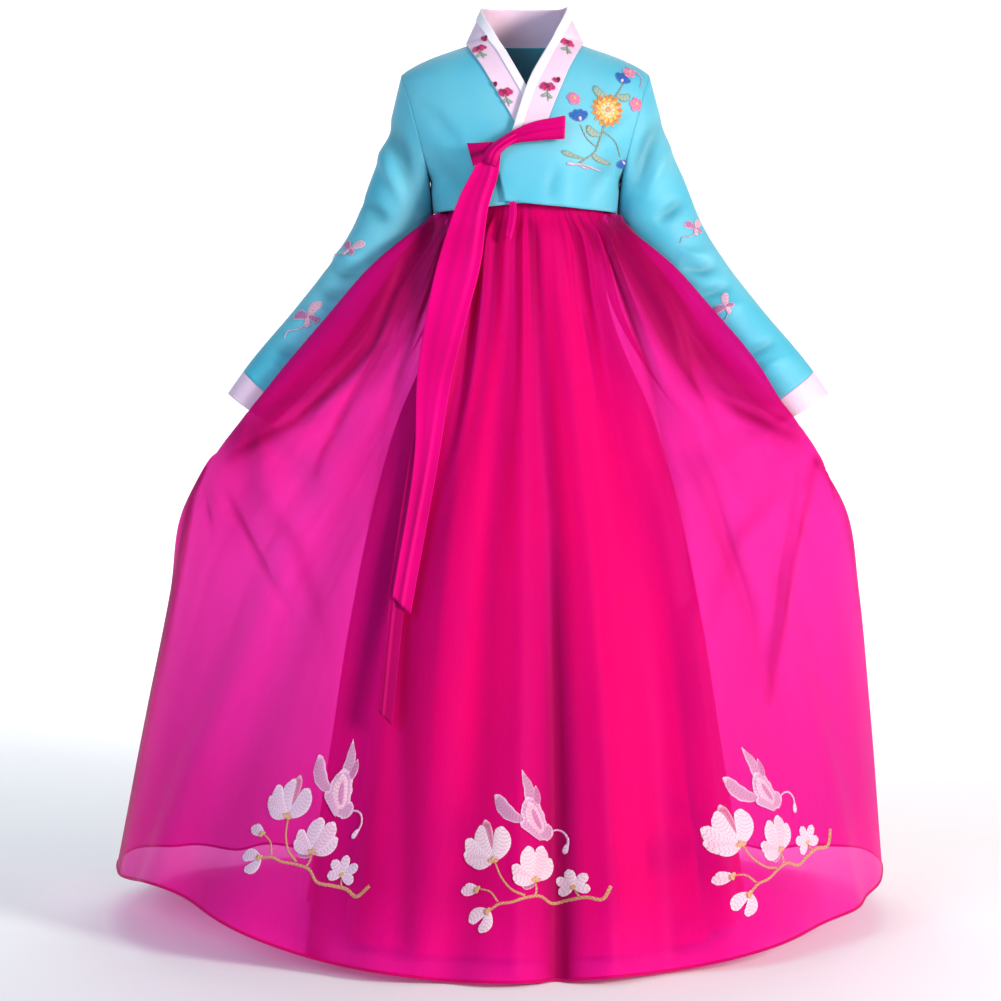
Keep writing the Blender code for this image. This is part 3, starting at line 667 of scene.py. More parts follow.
# x and z of folds that more than one list below has
middleFold = (11, -289, 21, -421, 26, -573, 40, -716, 42, -966, 45, -1170, 46, -1338)
waistFold = (65, -270, 73, -398, 88, -443, 109, -572)
rightSleeveFold = (89, -280, 117, -335, 157, -421, 179, -489, 200, -596, 228, -719, 238, -831)
rightHandFold = (233, -563, 276, -661, 306, -759, 334, -847, 345, -924)
leftSleeveFold = (-450, -635, -401, -605, -343, -576, -312, -545, -235, -466, -180, -340)
leftWristFold = (-314, -655, -302, -618, -271, -556, -216, -462)
leftHandFold = (-484, -670, -477, -710, -470, -750)
leftWave = (-188, -700, -184, -968, -178, -1101, -182, -1290)
rightWave = (165, -620, 190, -900, 205, -1310)
backMiddleFold = (-14, -300, -10, -600, 12, -1000, 30, -1320)
backLeftFold = (-60, -300, -90, -560, -150, -900, -185, -1240)
backRightHandFold = (420, -640, 340, -780, 300, -960)
backLeftHandFold = (-430, -640, -360, -800, -320, -980)

skirt = dict(
    waistDrop=0.205,
    length=1.20,
    tucked=0.0105,
    tuckShare=0.050,
    gathers=30,
    folds=18,
    columns=768,
    rows=200,
    hand=(0.409, -0.125, -0.561),
    # how much wider the lower skirt is, and how far each hip moves to -X
    wider=0.008,
    leftHip=0.012,
    rightHip=0.014,
    # how far the hem rises: height, turn, reach round the skirt
    hemRises=((0.046, -0.155, 0.055), (-0.010, 0.085, 0.045)),
    # how the gathers wander: strength, waves a turn, start
    wander=((0.9, 3, 0.4), (0.7, 7, 1.9), (0.45, 13, 0.3)),
    # small folds that spread from each hand: depth, how many a radian, distance, reach
    fan=(0.006, 9, 0.15, 0.08),
    # how dark closed gathers are, as painted shade in their gaps, and how dark threads that lie closer are
    fineGathers=0.8,
    streakShade=0.18,
    # turn, degrees round the waist where the line starts, then share, x, y and z down it
    lines=(
        (0, 0, 90, 0, -130, -300, 165, 0, -156, -393, 300, 0, -205, -550, 500, 0, -285, -778,
         750, 0, -385, -1060, 1000, 0, -470, -1345),
        (130, 38, 90, 108, -108, -300, 165, 132, -136, -390, 300, 178, -180, -550, 400, 222, -206, -668,
         500, 275, -232, -790, 750, 365, -284, -1060, 1000, 435, -322, -1312),
        (210, 60, 90, 140, -92, -300, 165, 196, -124, -380, 260, 254, -142, -478, 340, 306, -152, -556,
         400, 346, -160, -622, 475, 386, -164, -704, 550, 418, -164, -780, 660, 456, -164, -890,
         810, 510, -156, -1050, 1000, 568, -140, -1290),
        (250, 72, 58, 144.5, -50, -268, 70, 152, -62, -276, 90, 169, -80, -290, 165, 233, -100, -345,
         260, 305, -108, -430, 340, 368, -118, -502, 400, 409, -125, -561, 475, 458, -95, -639,
         550, 505, -65, -715, 660, 530, -40, -845, 810, 560, -20, -1030, 1000, 597, 0, -1283),
        (280, 84, 90, 140, -30, -302, 165, 172, -48, -385, 260, 246, -56, -490, 340, 320, -66, -572,
         400, 372, -72, -630, 475, 440, -45, -706, 550, 482, -10, -775, 660, 516, 40, -885,
         810, 556, 80, -1050, 1000, 586, 100, -1286),
        (370, 122, 90, 114, 86, -304, 165, 134, 88, -396, 300, 195, 88, -560, 400, 255, 98, -672,
         500, 325, 135, -800, 750, 410, 220, -1070, 1000, 440, 290, -1325),
        (500, 180, 90, 0, 110, -305, 165, 0, 130, -396, 300, 0, 172, -556, 500, 0, 242, -785,
         750, 0, 332, -1068, 1000, 0, 410, -1345),
    ),
    # share, how far the whole skirt leans to -X
    lean=milli((0, 0), (340, 1), (400, 5), (550, 16), (660, 16), (810, 25), (1000, 39)),
    # share, depth of the gathers, depth of the folds
    waves=milli(
        (0, 1.5, 0), (50, 3.2, 0), (90, 6.5, 1), (200, 7.5, 3), (400, 5.5, 5), (600, 3.5, 7),
        (1000, 1, 13),
    ),
    # long folds on the front: down the middle, over the right sleeve, over the left sleeve and from
    # the left hand, and the soft waves of the lower skirt
    frontFolds=(
        (-2, -10, -15, 16, 20, *middleFold),
        (2, 9, 10, 22, 30, 40, -289, 56, -421, 68, -573, 86, -716, 100, -966, 116, -1330),
        (2, 6, 8, 28, 18, -20, -300, -15, -573, -4, -800, -10, -1170, -14, -1330),
        (-1, -5, 0, 8, 12, *waistFold), (-3, -8, -4, 12, 16, *rightSleeveFold),
        (3, 7, 2, 12, 14, 140, -288, 176, -345, 214, -422, 237, -490, 259, -541, 288, -603),
        (0, 5, 3, 6, 9, 251, -516, 327, -552, 412, -594),
        (0, -6, 0, 9, 10, 262, -545, 330, -580, 405, -620), (0, -6, -2, 10, 14, *rightHandFold),
        (4, 8, 0, 10, 10, 432, -645, 400, -775, 358, -965),
        (-3, -7, 0, 10, 10, 405, -662, 378, -784, 338, -972), (-1, -8, -4, 7, 11, *leftSleeveFold),
        (0, 6, 3, 12, 12, -440, -665, -345, -610, -245, -510, -190, -390),
        (0, -6, -2, 7, 10, *leftWristFold),
        (0, -7, 0, 7, 11, -450, -680, -419, -737, -364, -827, -340, -880),
        (0, -5, 0, 6, 8, *leftHandFold),
        (0, 7, 10, 30, 30, -86, -571, -104, -827, -124, -1102, -144, -1318),
        (0, -8, -10, 22, 24, *leftWave), (0, 6, 8, 34, 30, -250, -800, -280, -1020, -300, -1300),
        (0, -6, -9, 26, 26, *rightWave), (0, 8, 10, 34, 34, 235, -850, 262, -1050, 285, -1300),
        (0, -5, -7, 22, 24, 345, -950, 365, -1120, 380, -1290),
    ),
    backFolds=(
        (3, 10, 6, 20, 16, 10, -300, 20, -600, 50, -1000, 70, -1320),
        (-3, -9, -4, 14, 22, *backMiddleFold),
        (3, 9, 3, 16, 18, -80, -300, -120, -560, -190, -900, -230, -1240),
        (-3, -9, -3, 18, 14, *backLeftFold),
        (3, 8, 3, 16, 18, 90, -300, 150, -600, 240, -940, 285, -1240),
        (0, 8, 0, 12, 14, 400, -600, 300, -640, 200, -560),
        (0, 8, 0, 12, 14, -405, -600, -300, -650, -210, -580), (0, -8, 0, 12, 14, *backRightHandFold),
        (0, -8, 0, 12, 14, *backLeftHandFold),
    ),
    # where the sheer cloth is folded over itself, and where shade is painted along its folds: rows as for
    # folds, with strengths for depths
    frontFoldedAndShaded=(
        (800, 900, 700, 4, 9, -488, -650, -510, -700, -532, -800, -552, -880, -590, -1060, -625, -1280),
        (400, 400, 200, 8, 4, 440, -640, 488, -708, 508, -795, 533, -925, 548, -1071),
        (300, 700, 750, 10, 12, *middleFold), (0, 600, 750, 36, 34, *middleFold[6:]),
        (100, 350, 0, 5, 6, *waistFold), (300, 450, 300, 8, 16, *rightSleeveFold),
        (100, 400, 200, 5, 10, 150, -290, 184, -340, 214, -422, 237, -490, 259, -541, 288, -603),
        (0, 450, 200, 5, 9, 256, -528, 329, -566, 410, -606), (200, 500, 300, 5, 55, *rightHandFold),
        (500, 750, 550, 5, 7, 441, -642, 398, -784, 357, -985),
        (300, 550, 350, 5, 6, 412, -666, 380, -800, 352, -968), (200, 650, 350, 5, 9, *leftSleeveFold),
        (500, 500, 200, 4, 8, *leftWristFold), (200, 600, 100, 4, 7, -450, -680, -419, -737, -364, -827),
        (100, 450, 100, 4, 6, *leftHandFold),
        (150, 400, 650, 40, 5, -205, -560, -220, -660, -243, -810, -256, -910, -264, -1000, -300, -1200,
         -312, -1320),
        (200, 340, 150, 40, 40, -195, -540, -235, -650, -285, -790, -310, -900),
        (200, 340, 50, 30, 30, -390, -610, -425, -690, -455, -800),
        (0, 120, 300, 40, 40, -95, -950, -105, -1150, -110, -1335),
        (550, 850, 650, 38, 32, -150, -300, -205, -385, -262, -462, -340, -535, -430, -600),
        (750, 700, 300, 24, 34, -128, -290, -152, -360, -185, -440, -214, -500),
        (750, 700, 300, 30, 22, 130, -290, 172, -380, 206, -450, 240, -515),
        (450, 850, 500, 28, 34, 150, -300, 200, -385, 240, -452, 300, -520, 396, -585),
        (0, 300, 350, 20, 20, *leftWave), (0, 200, 350, 24, 24, *rightWave),
    ),
    backFoldedAndShaded=(
        (200, 500, 700, 18, 20, *backMiddleFold), (200, 500, 500, 18, 16, *backLeftFold),
        (200, 400, 400, 16, 18, 120, -300, 185, -600, 275, -940, 320, -1240),
        (0, 400, 100, 12, 14, *backRightHandFold), (0, 400, 100, 12, 14, *backLeftHandFold),
    ),
    # streaks of closer threads: how many round, their strength, bend, bends round, drift, downwards
    streaks=((53, 0.40, 2.1, 3, 1.7), (89, 0.35, 1.3, 5, -2.3), (31, 0.40, 1.9, 2, 3.0)),
)


# the trunk's own outline at a drop, moved in
def waistRing(angle, drop, inset):
    halfWidth, front, back = smoothCurve(jacket["trunk"], drop)
    return section(angle, min(halfWidth, 0.142) - inset, front - inset, back - inset)


# the smooth form: a smooth curve down each line, then a smooth curve round through all of them
def skirtNet(shares):
    lines = []
    for turn, seat, *rows in skirt["lines"]:
        top = []
        for share in (0.0, skirt["tuckShare"]):
            drop = skirt["waistDrop"] + share * skirt["length"]
            top.append((share, *waistRing(np.radians(seat), drop, skirt["tucked"]), -drop))
        lines.append((turn / 1000, smoothCurve([*top, *np.reshape(rows, (-1, 4)) / 1000], shares)))
    around = [(-turn, points * (-1, 1, 1)) for turn, points in lines[:0:-1]] + lines
    before = [(turn - 1, points) for turn, points in around[-4:-1]]
    after = [(turn + 1, points) for turn, points in around[1:4]]
    keys = [np.append(turn, points) for turn, points in before + around + after]
    turns = np.arange(skirt["columns"]) / skirt["columns"]
    turns = np.where(turns > 0.5, turns - 1, turns)
    points = smoothCurve(keys, turns).reshape(skirt["columns"], len(shares), 3).transpose(1, 0, 2)
    down = shares[:, None]
    points[..., 0] -= smoothCurve(skirt["lean"], shares)
    points[..., 0] *= 1 + skirt["wider"] * ease(0.42, 0.6, down)
    points[..., 0] -= skirt["leftHip"] * bell(down, 0.47, 0.05) * bell(turns, -0.25, 0.05)
    narrower = ease(0.05, 0.11, down) * (1 - ease(0.36, 0.46, down))
    points[..., 0] -= skirt["rightHip"] * narrower * bell(turns, 0.25, 0.075)
    uneven = sum(height * bell(turns, *where) for height, *where in skirt["hemRises"])
    points[..., 2] += ease(0.6, 1.0, down) * uneven
    return points, turns


# the smooth form, pushed in and out by gathers, by folds round the hem, by a fan of small folds
# from each hand, and by the long folds. The last value is where the gathers close up
def skirtGrid(shares):
    points, turns = skirtNet(shares)
    normals = gridNormals(points, closed=True)
    gatherDepth, foldDepth = smoothCurve(skirt["waves"], shares).T[..., None]
    shares = shares[:, None]
    wander = sum(strength * wave(count, turns, start) for strength, count, start in skirt["wander"])
    phase = 2 * np.pi * skirt["gathers"] * turns + wander
    reach = 0.5 + 0.5 * wave(5, turns, 0.8) * wave(8, turns, 2.1)
    strength = 0.6 + 0.4 * wave(9, turns, 2.4) * wave(4, turns, 0.2)
    fading = strength * (1 - ease(0.0, 1.0, (shares - 0.06) / (0.10 + 0.36 * reach)))
    gathers = gatherDepth * fading * (np.cos(phase) + 0.25 * np.cos(2 * phase + 0.9))
    closed = ease(0.45, 0.95, -np.cos(phase)) * np.sqrt(fading)
    fine = ease(0.55, 0.95, np.cos(2.4 * phase + 1.0)) * (1 - ease(0.06, 0.20, shares))
    closed = np.maximum(closed, skirt["fineGathers"] * strength * fine)
    drift = 0.008 * wave(5, turns) + 0.005 * wave(3, turns, 0.7)
    folds = foldDepth * np.cos(2 * np.pi * skirt["folds"] * (turns + drift))
    aside = np.abs(turns)
    taut = bell(aside, 0.245, 0.055) * ease(0.05, 0.10, shares) * (1 - ease(0.42, 0.85, shares))
    atSides = bell(aside, 0.25, 0.075) * ease(0.5, 0.9, shares)
    depth = (gathers + 0.75 * folds * (1 - 0.95 * atSides)) * (1 - 0.85 * taut)
    fanDepth, fanCount, fanDistance, fanReach = skirt["fan"]
    for side in (1, -1):
        away = points - np.array(skirt["hand"]) * (side, 1, 1)
        angle = np.arctan2(-away[..., 2], -side * away[..., 0])
        fan = bell(np.linalg.norm(away, axis=-1), fanDistance, fanReach) * (away[..., 1] < 0.03)
        depth += fanDepth * fan * np.cos(fanCount * angle + 0.6)
    front = 1 - ease(0.225, 0.265, aside)
    depth += front * creaseDepth(points, skirt["frontFolds"])
    depth += (1 - front) * creaseDepth(points, skirt["backFolds"])
    depth *= ease(0.03, 0.10, shares) * 0.9 + 0.1
    points = pushed(points, depth, normals)
    points[..., 2] = np.maximum(points[..., 2], floorHeight + 0.002)
    return points, gridNormals(points, closed=True), turns, closed


# cuts a closed grid into equal panels, the first centred on the front
def cutPanels(grid, count):
    columns = grid.shape[1]
    each = columns // count
    return [grid[:, (np.arange(each + 1) + place * each - each // 2) % columns] for place in range(count)]


# the panels of a skirt, each with its share of the attribute of doubled cloth and painted shade, sewn under
# the waistband
def makePanels(skirtName, nodeName, names, points, foldedAndShaded, silk, slot, **cut):
    for name, panel, shadedFolds in zip(names, cutPanels(points, len(names)), cutPanels(foldedAndShaded, len(names))):
        made = clothObject(skirtName + name, panel, silk, panel - np.array([0, 0, -0.7]), foldedAndShaded=shadedFolds)
        declareSheet(made, nodeName + name, slot, held="gathered", rests_on=["skirtWaistband"], **cut)


# a tube along a closed line of points: circles across it, flattened by the two radii
def cordAlong(name, line, upward, radii, material, around=8):
    along = unit(np.roll(line, -1, axis=0) - np.roll(line, 1, axis=0))
    sideways = unit(np.cross(along, upward))
    turn = (2 * np.pi * np.arange(around) / around)[:, None, None]
    offset = radii[0] * np.cos(turn) * sideways + radii[1] * np.sin(turn) * np.cross(sideways, along)
    return clothObject(name, line + offset, material, offset, closed=True, ring=True)


skirtShares = np.linspace(0, 1, skirt["rows"])
skirtPoints, skirtNormals, skirtTurns, closedGathers = skirtGrid(skirtShares)
skirtShares = skirtShares[:, None]
onFront = 1 - ease(0.262, 0.285, np.abs(skirtTurns))
# painted shade along the folds and in the gaps where the gathers close, with denser, darker cloth where it is
# doubled and where threads lie closer
foldedAndShaded = onFront * creaseDepth(skirtPoints, skirt["frontFoldedAndShaded"])
foldedAndShaded += (1 - onFront) * creaseDepth(skirtPoints, skirt["backFoldedAndShaded"])
streaks = sum(
    strength * wave(count, skirtTurns, bend * wave(bends, skirtTurns) + drift * skirtShares)
    for count, strength, bend, bends, drift in skirt["streaks"]
)
foldedAndShaded += skirt["streakShade"] * np.clip(streaks, 0, 1) * (1 - 0.6 * skirtShares)
# painted shade in the gaps where the gathers close up, fading down the skirt
foldedAndShaded += (1 - 0.6 * ease(0.08, 0.35, skirtShares)) * closedGathers
names = ["front", "side_front_right", "side_back_right", "back", "side_back_left", "side_front_left"]
makePanels("skirtOuter_", "chima_outer_", names, skirtPoints, np.clip(foldedAndShaded, 0, 1), organza,
           "pink_organza", flat=(0.60, 1.20), area=0.44)
hem = cordAlong("skirtOuterHem", skirtPoints[-1] + [0, 0, 0.0022], (0, 0, 1.0), (0.0012, 0.0022), rolledHem)
print("outer skirt made")


# The inner skirt and the waistband


innerSkirt = dict(
    # drop, half width, depth to the front, depth to the back, fold depth
    form=milli(
        (205, 126.2, 104, 86.8, 0.3), (262, 120, 100, 81.2, 1), (400, 124, 120, 94, 3),
        (600, 198, 176, 132, 6), (900, 266, 262, 205, 8.5), (1100, 296, 312, 252, 10.5),
        (1336, 332, 366, 305, 13),
    ),
    folds=16,
    columns=256,
    rows=110,
    # where the taffeta is folded over itself and where shade is painted on it, down its left side and along
    # its folds, as for the outer skirt
    foldedAndShaded=(
        (600, 1000, 1000, 50, 50, -130, -330, -175, -514, -200, -640, -215, -825, -232, -960,
         -262, -1100, -285, -1330),
        (200, 700, 800, 16, 16, 11, -289, 24, -573, 42, -966, 46, -1338),
        (0, 650, 800, 36, 34, *middleFold[6:]),
        (100, 350, 400, 16, 20, 100, -300, 160, -500, 235, -800, 262, -1320),
        (0, 350, 550, 30, 40, 190, -560, 268, -850, 296, -1080, 312, -1330),
        (100, 200, 400, 20, 24, -70, -300, -90, -600, -120, -960, -150, -1320),
    ),
    # share, drop, half width, depth to the front, depth to the back
    band=milli((0, 125, 128, 106.1, 96), (500, 165, 129, 109.5, 95), (1000, 204.5, 128.4, 106.2, 89.2)),
    bandThickness=0.0024,
    bandRows=14,
    bandColumns=160,
)


# superellipses down the form, with waves of its fold depth round them
def innerGrid():
    drops = np.linspace(skirt["waistDrop"], innerSkirt["form"][-1][0], innerSkirt["rows"])
    turns = np.arange(innerSkirt["columns"]) / innerSkirt["columns"]
    halfWidth, front, back, fold = smoothCurve(innerSkirt["form"], drops).T[:, :, None]
    x, y = section(2 * np.pi * turns, halfWidth, front, back)
    points = np.stack([x, y, np.broadcast_to(-drops[:, None], x.shape)], -1)
    folds = fold * (np.cos(2 * np.pi * innerSkirt["folds"] * turns) + 0.3 * wave(41, turns))
    # painted shade on the taffeta, down its left side and along its folds
    shadedFolds = creaseDepth(points, innerSkirt["foldedAndShaded"])
    return pushed(points, folds, gridNormals(points, closed=True)), np.clip(shadedFolds, 0, 1)


makePanels("skirtInner_", "chima_inner_", ["front", "right", "back", "left"], *innerGrid(), taffeta,
           "pink_taffeta", flat=(0.56, 1.14), area=0.42)
shares = np.linspace(0, 1, innerSkirt["bandRows"])
turn = 2 * np.pi * np.arange(innerSkirt["bandColumns"]) / innerSkirt["bandColumns"]
drops, halfWidth, front, back = smoothCurve(innerSkirt["band"], shares).T[:, :, None]
x, y = section(turn, halfWidth, front, back)
points = np.stack([x, y, np.broadcast_to(-drops, x.shape)], -1)
made = clothObject("skirtWaistband", points, bandCotton, points - points.mean(axis=(0, 1)), closed=True,
                   thickness=innerSkirt["bandThickness"])
declareSheet(made, "chima_waistband", "waistband_cotton", flat=(0.74, 0.08), held="stretched")
print("inner skirt and waistband made")


# Tie ribbons


ribbon = dict(
    thickness=0.0011,
    laid=0.0004,
    apart=0.0048,
    heights=(-0.15, -1.02, 60),
    fullness=0.0022,
    # share, x, z, half width
    longTail=milli(
        (0, -50, -172, 13), (80, -60, -208, 18.5), (160, -78, -252, 23), (270, -97, -333, 31),
        (400, -117, -415, 30), (520, -134, -500, 26), (700, -146, -621, 18), (1000, -181, -834, 15),
    ),
    underTail=milli(
        (0, -57, -193, 12), (250, -104, -350, 18), (500, -146, -560, 14), (750, -182, -780, 12),
        (1000, -203, -990, 10),
    ),
)


# the least and greatest x of both tails at a height
def tailReach(height):
    sides = [
        np.interp(-height, -z, x + way * half)
        for _, x, z, half in (ribbon["longTail"].T, ribbon["underTail"].T)
        for way in (-1, 1)
    ]
    return min(sides), max(sides)


# z, and the y just in front of the jacket and skirt where the tails hang: the furthest forward of
# what lies behind them, smoothed over five heights
def restingLine():
    heights = np.linspace(*ribbon["heights"])
    front = np.full(len(heights), -np.inf)
    for row, height in enumerate(heights):
        low, high = tailReach(height)
        if height > -jacket["hemDropSide"] - 0.028:
            across = np.linspace(low, high, 9)
            chest = trunkDepth(across, np.full(9, max(height, -jacket["hemDropSide"])), True)
            front[row] = (chest + overlapLift(across, 1)).max()
        near = (skirtPoints[..., 0] > low - 0.01) & (skirtPoints[..., 0] < high + 0.01)
        near &= np.abs(skirtPoints[..., 2] - height) < 0.012
        if near.any() and height < -jacket["hemDropCentre"]:
            front[row] = max(front[row], -skirtPoints[..., 1][near].min())
    widest = [front[max(0, row - 1) : row + 2].max() for row in range(len(front))]
    return heights, -np.convolve(np.pad(widest, 2, mode="edge"), np.ones(5) / 5, "valid")


# a strip along a line in x and z: across it by half its width, and along it by a slant
def stripPlaces(x, z, half, slant, side):
    along = unit(np.gradient(np.stack([x, z], -1), axis=0))
    across, shift = side * half[:, None], side * slant[:, None]
    return (
        x[:, None] - along[:, 1:] * across + along[:, :1] * shift,
        z[:, None] + along[:, :1] * across + along[:, 1:] * shift,
    )


# a hanging strip, with a long soft fold, rolled edges and a slanting cut end
def tailGrid(table, line, clear, rows, columns, fold, slant):
    share = np.linspace(0, 1, rows)
    side = np.linspace(-1, 1, columns)
    x, z, half = smoothCurve(table, share).T
    x, z = stripPlaces(x, z, half, slant * ease(0.9, 1, share), side)
    y = np.interp(-z, -line[0], line[1]) - clear
    share = share[:, None]
    middle = fold + 0.25 * np.sin(5 * share)
    ridge = bell(side, middle, 0.22) - 0.5 * bell(side, middle + 0.45, 0.2)
    fullness = ribbon["fullness"] * (1 + 0.4 * np.sin(9 * share)) * ease(0, 0.06, share)
    return np.stack([x, y - fullness * np.clip(ridge, 0, 1) - 0.0012 * side**4, z], -1)


# a band with y from its table too. Soft pleats run along it, and its end is cut on a slant
def bandGrid(table, rows, columns, pleats, slant=0.0):
    share = np.linspace(0, 1, rows)
    side = np.linspace(-1, 1, columns)
    x, y, z, half = smoothCurve(table, share).T
    x, z = stripPlaces(x, z, half, slant * ease(0.75, 1, share), side)
    points = np.stack([x, np.broadcast_to(y[:, None], x.shape), z], -1)
    for middle, drift, width, depth in pleats:
        points[..., 1] -= depth * bell(side, middle + drift * share[:, None], width)
    return points


# one piece of ribbon, facing the front unless it says otherwise
def makeRibbon(name, node, points, thickness, foldedAndShaded, facing=(0, -1.0, 0), **cut):
    # the attribute holds painted shade along the ribbon's folds
    made = clothObject(name, points, ribbonSilk, np.broadcast_to(facing, points.shape), thickness=thickness,
                       foldedAndShaded=np.broadcast_to(foldedAndShaded, points.shape[:2]))
    declareSheet(made, node, "pink_ribbon", **cut)


restingHeights = restingLine()
for name, node, table, clear, columns, fold, slant, base, crease, flat in (
    ("ribbonUnderTail", "goreum_under_tail", "underTail", ribbon["thickness"], 15, -0.2, 0.008, 0.42,
     (0.1, 0.2, 0.3), (0.030, 0.83)),
    ("ribbonLongTail", "goreum_long_tail", "longTail", 2 * ribbon["thickness"] + ribbon["apart"], 25, 0.2,
     0.010, 0.0, (0.16, -0.35, 0.2), (0.056, 0.70)),
):
    points = tailGrid(ribbon[table], restingHeights, ribbon["laid"] + clear, 150, columns, fold, slant)
    # painted shade: the under tail is darker all over, and each tail is darker along a crease
    shade = base + crease[0] * bell(np.linspace(-1, 1, columns), *crease[1:])
    makeRibbon(name, node, points, ribbon["thickness"], shade, flat=flat, held="hung",
               rests_on=["skirtOuter_front", "skirtOuter_side_front_left"])


bow = dict(
    thickness=0.0009,
    # share, x, y, z, half width: the front and the back layer of the loop, and the other pieces
    loopFront=milli(
        (0, -40, -136.5, -168, 6), (250, -24, -138.5, -158, 8.5), (600, 10, -140.5, -147.5, 14),
        (1000, 54.5, -138, -141.5, 16.5),
    ),
    loopBack=milli(
        (0, -40, -131, -166, 5.5), (250, -24, -130.5, -157.5, 8), (600, 10, -130, -146.5, 13.5),
        (1000, 54.5, -131.5, -140, 16.2),
    ),
    knot=milli(
        (0, -14, -139, -153, 9.8), (300, -31, -143, -162, 9), (600, -47, -142, -174.5, 10.8),
        (1000, -56.5, -136, -193.5, 15.5),
    ),
    shortEnd=milli(
        (0, -44, -133, -170, 8.5), (500, -64, -134.5, -175, 12.5), (1000, -83.5, -131, -181, 18),
    ),
    tab=milli((0, -19, -123.5, -240, 5), (500, -20, -133, -272, 5.8), (1000, -26, -146, -304, 4.8)),
    # middle, drift, width and depth of each pleat
    frontPleats=((-0.35, 0.25, 0.28, 0.0022), (0.45, -0.2, 0.22, 0.0014), (0.05, 0.1, 0.18, -0.0014)),
    backPleats=((0.1, 0.2, 0.3, -0.0008),),
    knotPleats=((-0.3, 0.3, 0.25, 0.0026), (0.55, -0.3, 0.22, 0.0020), (0.1, 0.1, 0.14, -0.0022)),
    shortPleats=((0.0, -0.3, 0.35, -0.0022), (0.6, 0.1, 0.25, 0.0012)),
    tabPleats=((0.1, 0.2, 0.4, 0.0010),),
)


# the loop: its two layers joined round a half circle at the far end. The knot, the short end and
# the tab of the waistband's tie are bands
def makeBow():
    front = bandGrid(bow["loopFront"], 70, 21, bow["frontPleats"], 0.003)
    back = bandGrid(bow["loopBack"], 70, 21, bow["backPleats"], 0.003)
    turn = np.linspace(0, np.pi, 9)[1:-1, None, None]
    middle, reach = (front[-1] + back[-1]) / 2, (front[-1] - back[-1]) / 2
    out = np.abs(reach[:, 1]).mean() * np.sin(turn) * (1, 0, 0)
    loop = np.concatenate([front, middle + reach * np.cos(turn) + out, back[::-1]])
    facing = np.repeat([(0, -1.0, 0), (1.0, 0, 0), (0, 1.0, 0)], (70, 7, 70), axis=0)[:, None]
    side = np.linspace(-1, 1, 21)
    knot = bandGrid(bow["knot"], 50, 21, bow["knotPleats"])
    knot[..., 1] += 0.0075 * side**4
    short = bandGrid(bow["shortEnd"], 40, 15, bow["shortPleats"], 0.0005)
    tab = bandGrid(bow["tab"], 40, 11, bow["tabPleats"], 0.003)
    # painted shade over each piece: how dark its folds are, with the loop and the short end a little darker
    # all over
    down = np.linspace(0, 1, 50)[:, None]
    knotShade = 0.45 * bell(side, 0.10 + 0.1 * down, 0.10) + 0.40 * bell(side, -0.62 + 0.2 * down, 0.12)
    knotShade += 0.55 * bell(side, 1.0, 0.14) + 0.35 * bell(down, 0.95, 0.12)
    down = np.linspace(0, 1, len(loop))[:, None]
    loopShade = 0.20 + 0.55 * bell(down, 0, 0.07) * bell(side, -0.3, 0.5) + 0.30 * bell(side, -0.9, 0.25)
    loopShade += 0.25 * bell(side, 0.25, 0.10) * (1 - ease(0.1, 0.45, down))
    shortShade = 0.42 + 0.45 * bell(np.linspace(-1, 1, 15), 0.1, 0.3)
    thickness = bow["thickness"]
    makeRibbon("ribbonLoop", "goreum_loop", loop, thickness, loopShade, facing, flat=(0.030, 0.20),
               held="shadedFolds")
    makeRibbon("ribbonKnot", "goreum_knot", knot, thickness, knotShade, flat=(0.034, 0.06), held="shadedFolds")
    makeRibbon("ribbonShortEnd", "goreum_short_end", short, thickness, shortShade, flat=(0.028, 0.045),
               held="hung")
    # a little painted shade over the whole tab
    makeRibbon("ribbonWaistTab", None, tab, thickness, 0.15, flat=(0.011, 0.07), held="hung")


makeBow()
print("ribbons made")


# Embroidery


threads = dict(
    white=(0.90, 0.64, 0.71),
    blush=(0.84, 0.47, 0.60),
    lilac=(0.66, 0.44, 0.70),
    edge=(0.94, 0.72, 0.80),
    gold=(0.74, 0.40, 0.20),
    brown=(0.50, 0.20, 0.09),
    wing=(0.62, 0.20, 0.44),
    wingPale=(0.68, 0.33, 0.54),
    wingEdge=(0.94, 0.62, 0.78),
    rose=(0.62, 0.012, 0.15),
    crimson=(0.18, 0.001, 0.04),
    rosePale=(0.86, 0.36, 0.56),
    leaf=(0.15, 0.24, 0.16),
    leafPale=(0.36, 0.50, 0.38),
    yellow=(0.84, 0.56, 0.10),
    cream=(0.86, 0.74, 0.42),
    orange=(0.76, 0.24, 0.05),
    blue=(0.02, 0.13, 0.48),
    sky=(0.10, 0.30, 0.66),
    pink=(0.76, 0.22, 0.40),
)
# how far stitches stand off the cloth: the first layer, each layer over it, and their own height
stitches = dict(lift=0.0004, layer=0.00035, height=0.0009)


# where a drawing goes on a cloth grid: the grid point that is nearest in x and z and faces the
# front, and how many rows and columns a metre to the right and a metre up the cloth are there
def drawingPlace(points, normals, x, z, closed, spread):
    away = (points[..., 0] - x) ** 2 + (points[..., 2] - z) ** 2 + 10.0 * (normals[..., 1] > 0)
    row, column = np.unravel_index(away.argmin(), away.shape)
    rows, columns = away.shape
    high, low = max(row - spread, 0), min(row + spread, rows - 1)
    first, last = column - spread, column + spread
    if not closed:
        first, last = max(first, 0), min(last, columns - 1)
    perRow = (points[low, column] - points[high, column]) / (low - high)
    perColumn = (points[row, last % columns] - points[row, first % columns]) / (last - first)
    normal = normals[row, column]
    right = unit(np.array([1.0, 0, 0]) - normal[0] * normal)
    up = np.cross(right, normal)
    slopes = np.array([right, up * np.sign(up[2])]) @ np.transpose([perRow, perColumn])
    return dict(grids=(points, normals), start=np.array([row, column], float), steps=np.linalg.inv(slopes),
                closed=closed)


